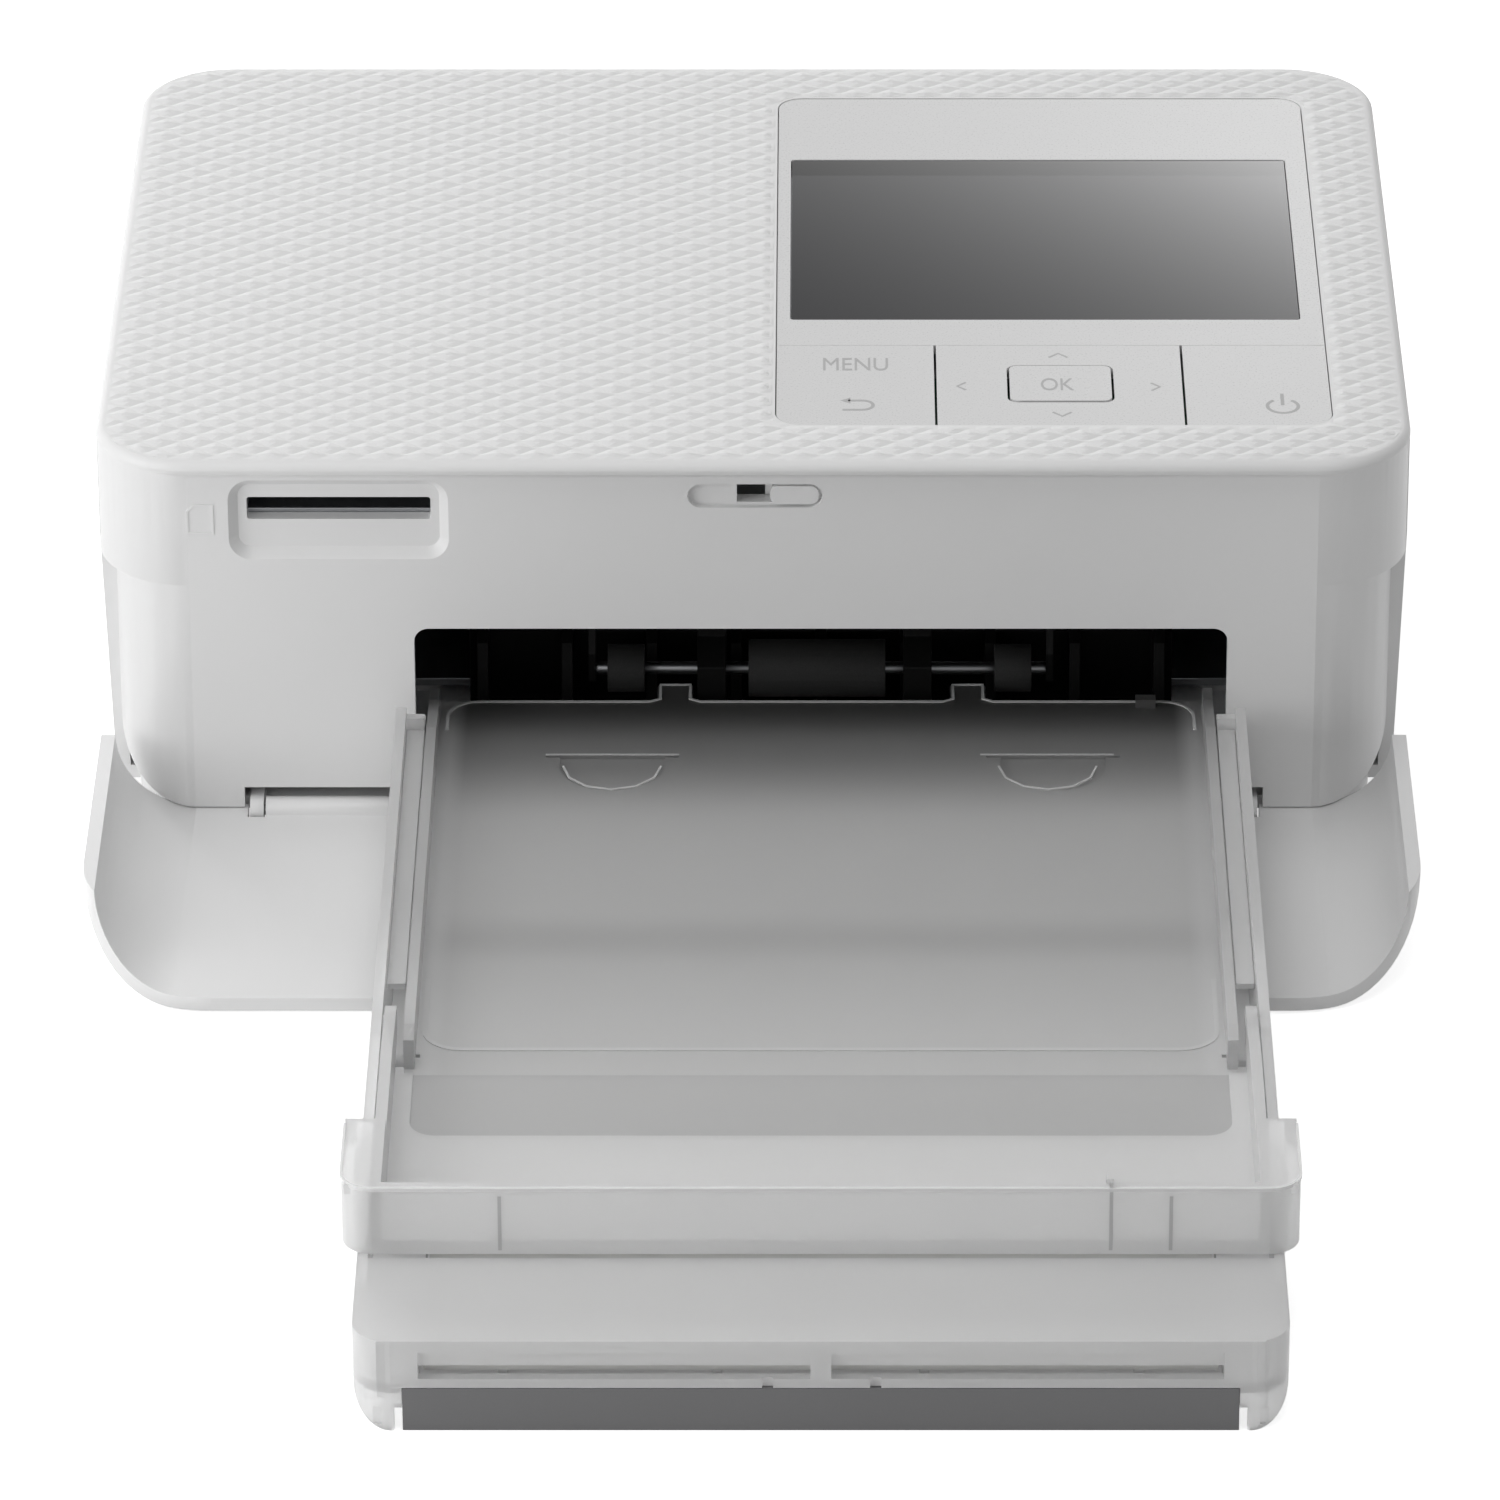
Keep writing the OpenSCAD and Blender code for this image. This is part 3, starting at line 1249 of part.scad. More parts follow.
module catch_tray() {
    front = lip_y + 1.5;
    lip_t = 1.6;
    ear_y = -119.7;
    color("lightgray") difference() {
        translate([paper_x, 0, 0]) union() {
            // floor
            block([-arm_out, front - 0.5, catch_floor], [arm_out, -93.6, catch_floor + 1.4]);
            // front lip, round the ends of the side rails
            translate([0, 0, catch_floor]) linear_extrude(lip_top - catch_floor) difference() {
                front_rounded(wing_out, lip_y, ear_y, 4);
                front_rounded(wing_out - lip_t, lip_y + lip_t, -100, 2.4);
            }
            // ribs behind the lip, two of them as high as it and one a little higher
            for (x = [-40.8, 44.4])
                block([x - 0.5, front - 0.5, catch_floor], [x + 0.5, front + 1.6, lip_top - 0.8]);
            block([36.2, front - 0.5, catch_floor], [37.2, front + 1.6, lip_top + 0.8]);
            both_sides() {
                // side arms to the pivots
                along_x(arm_out - 1.5, arm_out) polygon([
                    [front, catch_floor], [-93.6, catch_floor], [-91, 15.4],
                    [catch_pivot_y - 2, catch_pivot[1] - 2.2], [catch_pivot_y + 1, catch_pivot[1] - 2.2],
                    [catch_pivot_y + 2.2, catch_pivot[1]],
                    [catch_pivot_y + 1, catch_pivot[1] + 2.2], [-100, 21.4], [ear_y, 21.4], [ear_y, lip_top],
                    [front, lip_top]]);
                // ears over the ends of the side rails
                block([arm_out - 1, front - 0.5, lip_top - 1.4], [wing_out - 0.5, ear_y, lip_top]);
            }
        }
        // shallow field behind the lip, with rounded front corners
        translate([paper_x, 0, catch_floor + 1]) linear_extrude(2) front_rounded(53.4, -109.9, -90, 3.5);
        cassette_sides() rod(catch_pivot, 1.2 + fit, arm_out - 3, arm_out + 1);
    }
}

module catch_tray_pins() {
    color("silver") cassette_sides() rod(catch_pivot, 1.2, arm_out - 1.5, tray_hw);
}

module paper_stack() {
    color("white") translate([paper_x, 0, 0])
        block([-paper_w/2, paper_y0, paper_z], [paper_w/2, paper_y1, paper_z + paper_t]);
}

module lift_plate() {
    color("silver") translate([paper_x, 0, 0]) block([-44, -31, plate_z], [44, paper_y1 - 0.5, paper_z]);
}

// Moves a piece from the printer's own axes to the middle of the whole footprint
module placed() {
    translate([0, frame_y, 0]) children();
}

placed() lower_case();
placed() upper_case();
placed() top_cover();
placed() front_panel();
placed() control_panel();
placed() display_window();
placed() display_module();
placed() menu_key();
placed() four_way_key();
placed() ok_key();
placed() power_key();
placed() key_board();
placed() main_board();
placed() card_socket();
placed() usb_socket();
placed() power_jack();
placed() latch_slider();
placed() front_cover();
placed() cover_hinge_pins();
placed() ink_door();
placed() ink_door_pin();
placed() ink_cartridge();
placed() ink_film();
placed() supply_spool();
placed() take_up_spool();
placed() chassis();
placed() gear_plate();
placed() shaft_bushes();
placed() thermal_head();
placed() heat_sink();
placed() head_pivot_pins();
placed() platen_roller();
placed() platen_gear();
placed() feed_roller();
placed() feed_gear();
placed() pinch_roller();
placed() idler_gear();
placed() drive_motor();
placed() motor_pinion();
placed() pickup_shaft();
placed() pickup_rollers();
placed() pickup_bracket();
placed() paper_guide();
placed() rear_guide();
placed() fan_frame();
placed() fan_rotor();
placed() rubber_feet();
placed() case_screws();
placed() cassette_tray();
placed() cassette_foot_strip();
placed() inner_lid();
placed() inner_lid_pins();
placed() catch_tray();
placed() catch_tray_pins();
placed() paper_stack();
placed() lift_plate();
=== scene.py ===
# %% [markdown]
# # Compact photo printer
# A white photo printer stands with its front cover lying open. A frosted paper cassette is pushed
# into its front, and the cassette's catch tray is swung forward. The exact parts come from CAD.
# This lesson gives them their finishes, adds the relief on the top, the legends and the marks, and
# lights the set as a studio would.

# %% Load the frame
import json
import math

import bmesh
import bpy
import numpy as np
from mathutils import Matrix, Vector


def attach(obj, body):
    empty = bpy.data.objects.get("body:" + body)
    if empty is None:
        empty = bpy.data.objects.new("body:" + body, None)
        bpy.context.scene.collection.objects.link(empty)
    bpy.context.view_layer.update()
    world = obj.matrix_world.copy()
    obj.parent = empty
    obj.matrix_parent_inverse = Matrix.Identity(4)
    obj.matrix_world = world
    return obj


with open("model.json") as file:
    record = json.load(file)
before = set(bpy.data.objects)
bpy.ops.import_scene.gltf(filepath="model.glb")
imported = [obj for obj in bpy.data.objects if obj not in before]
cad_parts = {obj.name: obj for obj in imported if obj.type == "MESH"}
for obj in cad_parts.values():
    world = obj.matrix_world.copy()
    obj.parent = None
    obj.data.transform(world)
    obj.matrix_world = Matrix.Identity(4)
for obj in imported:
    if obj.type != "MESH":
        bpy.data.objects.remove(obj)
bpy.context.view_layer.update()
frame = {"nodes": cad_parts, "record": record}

parts = frame["nodes"]

# %% [markdown]
# ## Sizes
# The CAD drawing counts in millimetres from the printer's closed front edge. Blender works in
# metres from the middle of the whole footprint. One function turns the first into the second, so
# that every size below is the drawing's own. A rounded rectangle is written as its lowest and
# highest x and y and its corner radius, and a second function moves its border outwards.

# %% Sizes of the printer in millimetres
front_to_middle = 12.45
body_w, body_d, body_h = 182.2, 133.0, 57.4
top_outline = (-body_w / 2, 0.0, body_w / 2, body_d, 13.0)
panel_outline = (3.2, 12.1, 80.3, 121.4, 3.5)
paper_x = 9.4


def metres(points):
    """Points of the drawing, in millimetres, as metres in the frame, whose y = 0 is the middle."""
    points = np.asarray(points, float) + np.array([0.0, front_to_middle, 0.0])
    return points / 1000.0


def grown(outline, by):
    """A rounded rectangle (x0, y0, x1, y1, radius) with its border moved outwards by a distance."""
    x0, y0, x1, y1, radius = outline
    return x0 - by, y0 - by, x1 + by, y1 + by, radius + by


print("case:", body_w, "x", body_d, "x", body_h, "mm")

# %% [markdown]
# ## Camera
# The photograph is taken from a little over a metre, with a long lens, looking down by 28 degrees,
# so its side edges converge only a little. The camera stands 9 mm to the right of the printer's
# middle and isn't turned to the side, because then the front edge would slant. A small sideways
# shift of the picture brings the printer back to the middle.

# %% Camera of the photograph
camera_at = metres([[9.41, -1208.6, 658.6]])[0]
camera_tilt = 61.882


def placed(name, data):
    """A new object of the scene that holds the data: a mesh, a camera, a lamp or letters."""
    thing = bpy.data.objects.new(name, data)
    bpy.context.scene.collection.objects.link(thing)
    return thing


camera_data = bpy.data.cameras.new("camera")
camera_data.sensor_width = 36.0
camera_data.lens = 235.8
camera_data.shift_x = -0.0473
camera = placed("camera", camera_data)
camera.location = camera_at
camera.rotation_euler = (math.radians(camera_tilt), 0.0, 0.0)
bpy.context.scene.camera = camera
bpy.context.scene.view_settings.view_transform = "Standard"
print("camera stands", round(float(np.linalg.norm(camera_at)), 3), "m from the printer")

# %% [markdown]
# ## Colours and nodes
# Colours are written as sRGB hex values, as a paint chart gives them. The renderer needs linear
# light, so one function turns them over. A second function empties a node tree, and a third adds a
# shader node with its settings and its links.


# %% Colour and node helpers
def linear(hex_colour):
    """Linear RGBA of a hex colour: c / 12.92 where c is small, else ((c + 0.055) / 1.055)^2.4."""
    values = [int(hex_colour[i:i + 2], 16) / 255 for i in (1, 3, 5)]
    return [v / 12.92 if v <= 0.04045 else ((v + 0.055) / 1.055) ** 2.4 for v in values] + [1.0]


def bare_tree(owner):
    """The empty node tree of a material or of the world."""
    owner.use_nodes = True
    owner.node_tree.nodes.clear()
    return owner.node_tree


def add_node(tree, kind, inputs=None, **settings):
    """Adds one node. An entry of inputs is that socket's value, or another node's output for it."""
    node = tree.nodes.new(kind)
    for name, value in settings.items():
        setattr(node, name, value)
    for socket, value in (inputs or {}).items():
        if isinstance(value, bpy.types.NodeSocket):
            tree.links.new(value, node.inputs[socket])
        else:
            node.inputs[socket].default_value = value
    return node


print("white of the moulded case in linear light:", round(linear("#e7e7e7")[0], 3))

# %% [markdown]
# ## White room
# The set is a white table in a white room. The camera, mirrors and clear parts see pure white
# around the printer, while the soft light on the printer itself stays weaker, so that its white
# plastic keeps its shape. More light on everything would also turn the background white, but it
# would wash out the printer, so the two strengths are kept apart by the kind of ray.

# %% White room
room_light = 0.30


def seen_directly(tree):
    """1 for rays that come from the camera, a glossy or a clear surface, and 0 for light itself."""
    path = add_node(tree, "ShaderNodeLightPath")
    direct = add_node(tree, "ShaderNodeMath", {
        0: path.outputs["Is Camera Ray"], 1: path.outputs["Is Glossy Ray"]}, operation="MAXIMUM")
    either = add_node(tree, "ShaderNodeMath", {
        0: direct.outputs[0], 1: path.outputs["Is Transmission Ray"]}, operation="MAXIMUM")
    return either.outputs[0]


world = bpy.data.worlds.new("white_room")
bpy.context.scene.world = world
tree = bare_tree(world)
strength = add_node(tree, "ShaderNodeMapRange", {
    "Value": seen_directly(tree), "To Min": room_light, "To Max": 1.0})
background = add_node(tree, "ShaderNodeBackground", {
    "Color": linear("#ffffff"), "Strength": strength.outputs[0]})
add_node(tree, "ShaderNodeOutputWorld", {"Surface": background.outputs[0]})
print("light of the room on the printer:", room_light)

# %% [markdown]
# The table is painted white. A camera would see it a little grey where only the room lights it, so
# it also shines by itself, but only for rays that look at it. Its paint still takes the printer's
# shadow.

# %% White table
table_shine = 0.72
table_reach = 4.0

floor_mat = bpy.data.materials.new("white_painted_table")
tree = bare_tree(floor_mat)
paint = add_node(tree, "ShaderNodeBsdfDiffuse", {"Color": linear("#e6e6e6")})
glow = add_node(tree, "ShaderNodeMath", {0: seen_directly(tree), 1: table_shine},
                operation="MULTIPLY")
shine = add_node(tree, "ShaderNodeEmission", {
    "Color": linear("#ffffff"), "Strength": glow.outputs[0]})
both = add_node(tree, "ShaderNodeAddShader", {0: paint.outputs[0], 1: shine.outputs[0]})
add_node(tree, "ShaderNodeOutputMaterial", {"Surface": both.outputs[0]})

floor_mesh = bpy.data.meshes.new("floor")
floor_mesh.from_pydata([(-table_reach, -table_reach, 0), (table_reach, -table_reach, 0),
                        (table_reach, table_reach, 0), (-table_reach, table_reach, 0)], [],
                       [(0, 1, 2, 3)])
floor_mesh.materials.append(floor_mat)
floor = placed("floor", floor_mesh)
print("table:", 2 * table_reach, "m wide")

# %% [markdown]
# ## Soft lamps
# A soft lamp stands low and close at the front left, so its light fades along the front, and a
# larger one hangs above. A third one stands low behind, where its grazing light brings out the
# relief of the top. Gloss doesn't see that one, or the smooth film would flare when it is looked
# at from the right. A soft lamp's light on a surface facing it is its power over (pi x distance)
# squared, against 1 for a wall as bright as white paper. Turned round, that gives the power for
# the light that each side should get.

# %% Soft lamps
aim_height = 0.03


def soft_lamp(name, direction, distance, size, light):
    """A square lamp that shines on the printer. Power = (pi x distance)^2 x light; in metres."""
    toward = np.asarray(direction, float) / np.linalg.norm(direction)
    lamp_data = bpy.data.lights.new(name, "AREA")
    lamp_data.size = size
    lamp_data.energy = (math.pi * distance) ** 2 * light
    lamp = placed(name, lamp_data)
    lamp.location = toward * distance + np.array([0, 0, aim_height])
    lamp.rotation_euler = Vector(-toward).to_track_quat("-Z", "Y").to_euler()
    print(name, round(lamp_data.energy, 3), "W")
    return lamp


soft_lamp("left_lamp", direction=(-0.84, -0.49, 0.21), distance=0.42, size=0.35, light=0.52)
back_lamp = soft_lamp("back_lamp", direction=(-0.40, 0.83, 0.36), distance=1.0, size=0.45,
                      light=0.45)
back_lamp.visible_glossy = False
soft_lamp("top_lamp", direction=(-0.10, -0.10, 1.0), distance=1.2, size=1.0, light=0.36)

# %% [markdown]
# ## Card behind the printer
# The display is hard-coated and mirrors what stands behind the printer. In the photograph that is
# a wall which is bright at its lower right and dim at its upper left. The gradient could be
# painted on the display, but it has to move as a reflection does, so a card stands there, seen by
# reflections alone. Its light is e to the power of a sum, one part growing to the right and one
# falling upwards, as light does that fades along a wall.

# %% Card behind the printer
card_x0, card_x1, card_low, card_high, card_y = 4.0, 96.0, 195.0, 227.0, 400.0
card_margin = 16.0
power_left, power_right, power_rise = -0.04, 1.46, -1.04

card_mat = bpy.data.materials.new("lit_wall_card")
tree = bare_tree(card_mat)
at = add_node(tree, "ShaderNodeTexCoord")
axes = add_node(tree, "ShaderNodeSeparateXYZ", {0: at.outputs["Object"]})
across = add_node(tree, "ShaderNodeMapRange", {
    "Value": axes.outputs["X"], "From Min": card_x0 / 1000, "From Max": card_x1 / 1000,
    "To Min": power_left, "To Max": power_right}, clamp=False)
upward = add_node(tree, "ShaderNodeMapRange", {
    "Value": axes.outputs["Z"], "From Min": card_low / 1000, "From Max": card_high / 1000,
    "To Min": 0.0, "To Max": power_rise}, clamp=False)
power = add_node(tree, "ShaderNodeMath", {0: across.outputs[0], 1: upward.outputs[0]},
                 operation="ADD")
fading = add_node(tree, "ShaderNodeMath", {0: power.outputs[0]}, operation="EXPONENT")
shine = add_node(tree, "ShaderNodeEmission", {
    "Color": linear("#ffffff"), "Strength": fading.outputs[0]})
add_node(tree, "ShaderNodeOutputMaterial", {"Surface": shine.outputs[0]})

card_corners = metres([[card_x0 - card_margin, card_y, card_low - card_margin],
                       [card_x1 + card_margin, card_y, card_low - card_margin],
                       [card_x1 + card_margin, card_y, card_high + card_margin],
                       [card_x0 - card_margin, card_y, card_high + card_margin]])
card_mesh = bpy.data.meshes.new("lit_wall_card")
card_mesh.from_pydata([tuple(corner) for corner in card_corners], [], [(0, 1, 2, 3)])
card_mesh.materials.append(card_mat)
card = placed("lit_wall_card", card_mesh)
card.visible_camera = False
card.visible_diffuse = False
card.visible_shadow = False
card.visible_transmission = False
print("card shines from", round(math.exp(power_left + power_rise), 2), "to",
      round(math.exp(power_right), 2))

# %% [markdown]
# ## Materials
# Most of the printer is injection-moulded ABS. Its sheen is soft because the mould is
# spark-eroded, which leaves grains a few tenths of a millimetre across. Metal, rubber and paper
# have grain too, finer or coarser. One function makes them all: a noise of the grain's real size
# lifts the surface and varies its gloss. A bump is enough here, as the grains are far too fine to
# change an outline.


# %% Finish with grain
def new_material(name):
    """A node material with its Principled shader and its output, and its object coordinates."""
    material = bpy.data.materials.new(name)
    tree = bare_tree(material)
    shader = add_node(tree, "ShaderNodeBsdfPrincipled")
    add_node(tree, "ShaderNodeOutputMaterial", {"Surface": shader.outputs[0]})
    coordinates = add_node(tree, "ShaderNodeTexCoord")
    return material, tree, shader, coordinates.outputs["Object"]


def grained(name, colour, other, roughness, grain, depth, cloud=20.0, metallic=0.0,
            stretch=(1, 1, 1)):
    """A finish with grain: noise of the grain's size lifts the surface and varies its roughness,
    and clouds of a larger size carry it from one colour to the other. Sizes are in millimetres."""
    material, tree, shader, at = new_material(name)
    place = add_node(tree, "ShaderNodeMapping", {"Vector": at, "Scale": stretch})
    clouds = add_node(tree, "ShaderNodeTexNoise", {
        "Vector": at, "Scale": 1000 / cloud, "Detail": 2.0})
    grains = add_node(tree, "ShaderNodeTexNoise", {
        "Vector": place.outputs[0], "Scale": 1000 / grain, "Detail": 3.0})
    tone = add_node(tree, "ShaderNodeMix", {
        0: clouds.outputs[0], 6: linear(colour), 7: linear(other)}, data_type="RGBA")
    gloss = add_node(tree, "ShaderNodeMapRange", {
        "Value": grains.outputs[0], "From Min": 0.3, "From Max": 0.7,
        "To Min": roughness - 0.05, "To Max": roughness + 0.05})
    bump = add_node(tree, "ShaderNodeBump", {
        "Height": grains.outputs[0], "Distance": depth / 1000, "Strength": 1.0})
    tree.links.new(tone.outputs[2], shader.inputs["Base Color"])
    tree.links.new(gloss.outputs[0], shader.inputs["Roughness"])
    tree.links.new(bump.outputs[0], shader.inputs["Normal"])
    shader.inputs["Metallic"].default_value = metallic
    shader.inputs["IOR"].default_value = 1.5
    return material


# %% [markdown]
# Each finish below is one real material, with the way its surface was made. Its two colours are
# nearly the same, as on mass-produced parts. After them come its roughness, the size and depth of
# its grain, and for metals the size of the clouds and a 1 for metal.

# %% Moulded, ground and printed finishes
finish = {
    # Spark-eroded ABS gives the case a matt white with a broad, soft sheen.
    "white_abs": grained("abs_spark_eroded", "#e7e7e7", "#e5e5e5", 0.5, 0.35, 0.004),
    # Satin ABS of a finer mould looks a little smoother and reflects a little more.
    "white_satin": grained("abs_satin_moulded", "#e6e6e6", "#e4e4e4", 0.42, 0.25, 0.002),
    # The control panel's film is grey-white and smooth, with a hard-coated, even gloss.
    "panel_film": grained("hard_coated_film", "#d7d7d7", "#d6d6d6", 0.3, 0.3, 0.001),
    # The cassette's foot strip is mid-grey rubber that hardly reflects.
    "grey_rubber": grained("grey_rubber", "#777778", "#737374", 0.65, 0.3, 0.01),
    # Inner parts of black ABS swallow nearly all light; their colour is set darker than black ABS,
    # as painted shade, so the opening looks dark.
    "black_plastic": grained("black_abs_and_painted_shade", "#060606", "#040404", 0.55, 0.3, 0.004),
    # Ground rubber of the rollers is a dusty black, rough from the grinding wheel.
    "dark_rubber": grained("ground_rubber", "#1c1c1c", "#181818", 0.8, 0.2, 0.02),
    # Zinc plating on the chassis is a cool grey with a cloudy shine.
    "zinc_sheet": grained("zinc_plated_sheet", "#b4b6b8", "#a9abae", 0.35, 0.5, 0.002, 6.0, 1.0),
    # Ground steel pins and shafts shine brightly, with hair-fine marks.
    "steel_pin": grained("ground_steel", "#bcbcbd", "#b4b4b5", 0.25, 0.15, 0.001, 4.0, 1.0),
    # Solder mask is a glossy green lacquer over the copper of the circuit boards.
    "green_board": grained("solder_mask", "#1f6b47", "#1b6040", 0.35, 0.4, 0.004),
    # Acetal gears and bushes are a milky white with a waxy sheen.
    "white_acetal": grained("acetal_moulded", "#ececea", "#e8e8e6", 0.35, 0.4, 0.001),
    # A machined brass pinion is warm yellow and bright.
    "brass_gear": grained("brass_machined", "#c9a455", "#bf9a4c", 0.3, 0.15, 0.001, 4.0, 1.0),
    # Extruded aluminium of the heat sink is pale, with its grain drawn out along the fins.
    "fin_aluminium": grained("aluminium_extruded", "#c3c5c7", "#bcbec0", 0.35, 0.2, 0.002, 5.0,
                             1.0, stretch=(0.1, 1, 1)),
    # The dye film is a dark violet and almost as smooth as glass.
    "ink_ribbon": grained("ink_film", "#2a1436", "#241030", 0.15, 0.5, 0.001),
    # The ink cartridge is plain grey polystyrene with a satin mould finish.
    "cartridge_grey": grained("cartridge_polystyrene", "#9b9d9f", "#97999b", 0.45, 0.3, 0.003),
    # The back of photo paper is matt white with fine fibres.
    "paper_white": grained("photo_paper_back", "#e9e9e6", "#e6e6e3", 0.6, 0.15, 0.002),
}
print("grained finishes:", len(finish))

# %% [markdown]
# ## Frosted polystyrene
# The cassette and the catch tray are moulded from clear polystyrene with a frosted surface. Light
# that enters comes out blurred, and much of it is thrown back as a milky white. Volume scattering
# could do this, but it is slow and noisy in thin walls, so the shader lets a part of the light
# through and throws back the rest. A field of a wall can be given a darker colour of its own.

# %% Frosted polystyrene
frost_grain, frost_depth = 0.3, 0.003


def inside_field(tree, at, field):
    """1 inside a rounded rectangle (x0, x1, y0, y1, radius) in millimetres, and 0 outside: inside
    is where the distance beyond its inner box is less than its corner radius."""
    x0, x1, y0, y1, radius = field
    middle = metres([[(x0 + x1) / 2, (y0 + y1) / 2, 0]])[0]
    half = [(x1 - x0) / 2000 - radius / 1000, (y1 - y0) / 2000 - radius / 1000]
    axes = add_node(tree, "ShaderNodeSeparateXYZ", {0: at})
    beyond = []
    for axis, centre, reach in zip("XY", middle, half):
        away = add_node(tree, "ShaderNodeMath", {0: axes.outputs[axis], 1: float(centre)},
                        operation="SUBTRACT")
        size = add_node(tree, "ShaderNodeMath", {0: away.outputs[0]}, operation="ABSOLUTE")
        over = add_node(tree, "ShaderNodeMath", {0: size.outputs[0], 1: reach},
                        operation="SUBTRACT")
        beyond.append(add_node(tree, "ShaderNodeMath", {0: over.outputs[0], 1: 0.0},
                               operation="MAXIMUM"))
    corner = add_node(tree, "ShaderNodeCombineXYZ", {
        0: beyond[0].outputs[0], 1: beyond[1].outputs[0]})
    far = add_node(tree, "ShaderNodeVectorMath", {0: corner.outputs[0]}, operation="LENGTH")
    return add_node(tree, "ShaderNodeMath", {0: far.outputs["Value"], 1: radius / 1000},
                    operation="LESS_THAN").outputs[0]


def frosted(name, colour, roughness, clear, field_box=None, field_colour=None):
    """Frosted polystyrene: clear is the part of the light that goes through with blur, and the rest
    is thrown back. A field, as inside_field takes it, has a colour of its own."""
    material, tree, shader, at = new_material(name)
    grains = add_node(tree, "ShaderNodeTexNoise", {
        "Vector": at, "Scale": 1000 / frost_grain, "Detail": 2.0})
    bump = add_node(tree, "ShaderNodeBump", {
        "Height": grains.outputs[0], "Distance": frost_depth / 1000})
    tree.links.new(bump.outputs[0], shader.inputs["Normal"])
    shader.inputs["Base Color"].default_value = linear(colour)
    shader.inputs["Roughness"].default_value = roughness
    shader.inputs["IOR"].default_value = 1.5
    shader.inputs["Transmission Weight"].default_value = clear
    if field_box:
        tone = add_node(tree, "ShaderNodeMix", {
            0: inside_field(tree, at, field_box), 6: linear(colour), 7: linear(field_colour)},
            data_type="RGBA")
        tree.links.new(tone.outputs[2], shader.inputs["Base Color"])
    return material


# Frosted walls look like thin milk glass: pale, with blurred shapes behind them.
finish["frosted_clear"] = frosted("frosted_polystyrene", "#f3f3f3", 0.35, 0.5)
# A near-white, glossy plastic paints the bright lines of light that clear edges show: a painted
# highlight.
finish["painted_edge_highlight"] = frosted("polystyrene_painted_edge_highlight", "#fafafa", 0.15, 0.2)
# A greyer plastic paints the shade of a rib behind the frosted lip as a slightly darker line.
finish["rib_shade"] = frosted("shaded_polystyrene_rib", "#d6d6d6", 0.35, 0.3)
print("finishes:", len(finish))

# %% [markdown]
# ## Plastic of the cassette's lid
# The lid is clearer. Its colour holds painted shade: it is darker towards its rear, for the dark
# inside of the printer that shows through, and in a soft band at its step. Beside the paper below,
# it is painted paler, where no shaded paper shows through.

# %% Plastic of the cassette's lid
lid_front, lid_rear = -0.080, 0.027
# Painted shade along the lid, from its front at 0 to its rear at 1: a soft dark band near 0.355,
# then darkening to the rear.
lid_painted_shade_tones = ((0.28, "#e5e5e5"), (0.355, "#d7d7d7"), (0.43, "#e3e3e3"), (0.66, "#e5e5e5"),
             (0.86, "#b1b1b1"))
paper_edge, beside_paper = 0.0495, 0.0515


def lid_plastic_painted_shade(name, clear):
    """Clear polystyrene with painted shade in tones from the lid's front to its rear, and a paler
    painted tone beside the paper; places are in metres.
    """
    material, tree, shader, at = new_material(name)
    axes = add_node(tree, "ShaderNodeSeparateXYZ", {0: at})
    along = add_node(tree, "ShaderNodeMapRange", {
        "Value": axes.outputs["Y"], "From Min": lid_front, "From Max": lid_rear})
    # The ramp paints shade: pale at the front and #6f6f6f at the rear, where the dark inside shows
    # through.
    ramp = add_node(tree, "ShaderNodeValToRGB", {0: along.outputs[0]})
    stops = ramp.color_ramp
    stops.interpolation = "EASE"
    stops.elements[0].color, stops.elements[1].color = linear("#e9e9e9"), linear("#6f6f6f")
    stops.elements[0].position = 0.0
    for place, tone in lid_painted_shade_tones:
        stops.elements.new(place).color = linear(tone)
    # Beside the paper the lid is painted paler.
    aside = add_node(tree, "ShaderNodeMath", {0: axes.outputs["X"], 1: paper_x / 1000},
                     operation="SUBTRACT")
    away = add_node(tree, "ShaderNodeMath", {0: aside.outputs[0]}, operation="ABSOLUTE")
    beside = add_node(tree, "ShaderNodeMapRange", {
        "Value": away.outputs[0], "From Min": paper_edge, "From Max": beside_paper, "To Max": 0.6})
    tone = add_node(tree, "ShaderNodeMix", {
        0: beside.outputs[0], 6: ramp.outputs[0], 7: linear("#f3f3f3")}, data_type="RGBA")
    tree.links.new(tone.outputs[2], shader.inputs["Base Color"])
    shader.inputs["Roughness"].default_value = 0.3
    shader.inputs["IOR"].default_value = 1.5
    shader.inputs["Transmission Weight"].default_value = clear
    return material


print("lid's tones:", len(lid_painted_shade_tones) + 2)

# %% [markdown]
# ## Finishes of single parts
# Four parts look different from others of their slot. The pickup rollers' shaft is blackened, the
# lid is clearer than the cassette and carries painted shade, its pins are of the cassette's
# plastic, and the catch tray has a field near its front that is coloured darker. Moulded black
# plastic in the shade of a box has next to no shine, so its gloss is turned down.

# %% Finishes of single parts
field_half, field_front, field_rear, field_r = 53.4, -109.9, -80, 3.5
own_finish = {
    # Blackened steel is a dull dark grey metal.
    "pickup_shaft": grained("blackened_steel", "#77787a", "#6d6e70", 0.4, 0.15, 0.001, 4.0, 1.0),
    # The lid is smooth and clear; its tones are painted shade for what lies under it.
    "inner_lid": lid_plastic_painted_shade("clear_polystyrene_lid_painted_shade", 0.6),
    "inner_lid_pins": finish["frosted_clear"],
    # The tray is a little whiter and clearer than the cassette, but for a field near its front,
    # coloured darker.
    "catch_tray": frosted("frosted_polystyrene_tray", "#f7f7f7", 0.3, 0.55,
                          (paper_x - field_half, paper_x + field_half, field_front, field_rear,
                           field_r), "#d9d9d9"),
}
black_shader = finish["black_plastic"].node_tree.nodes["Principled BSDF"]
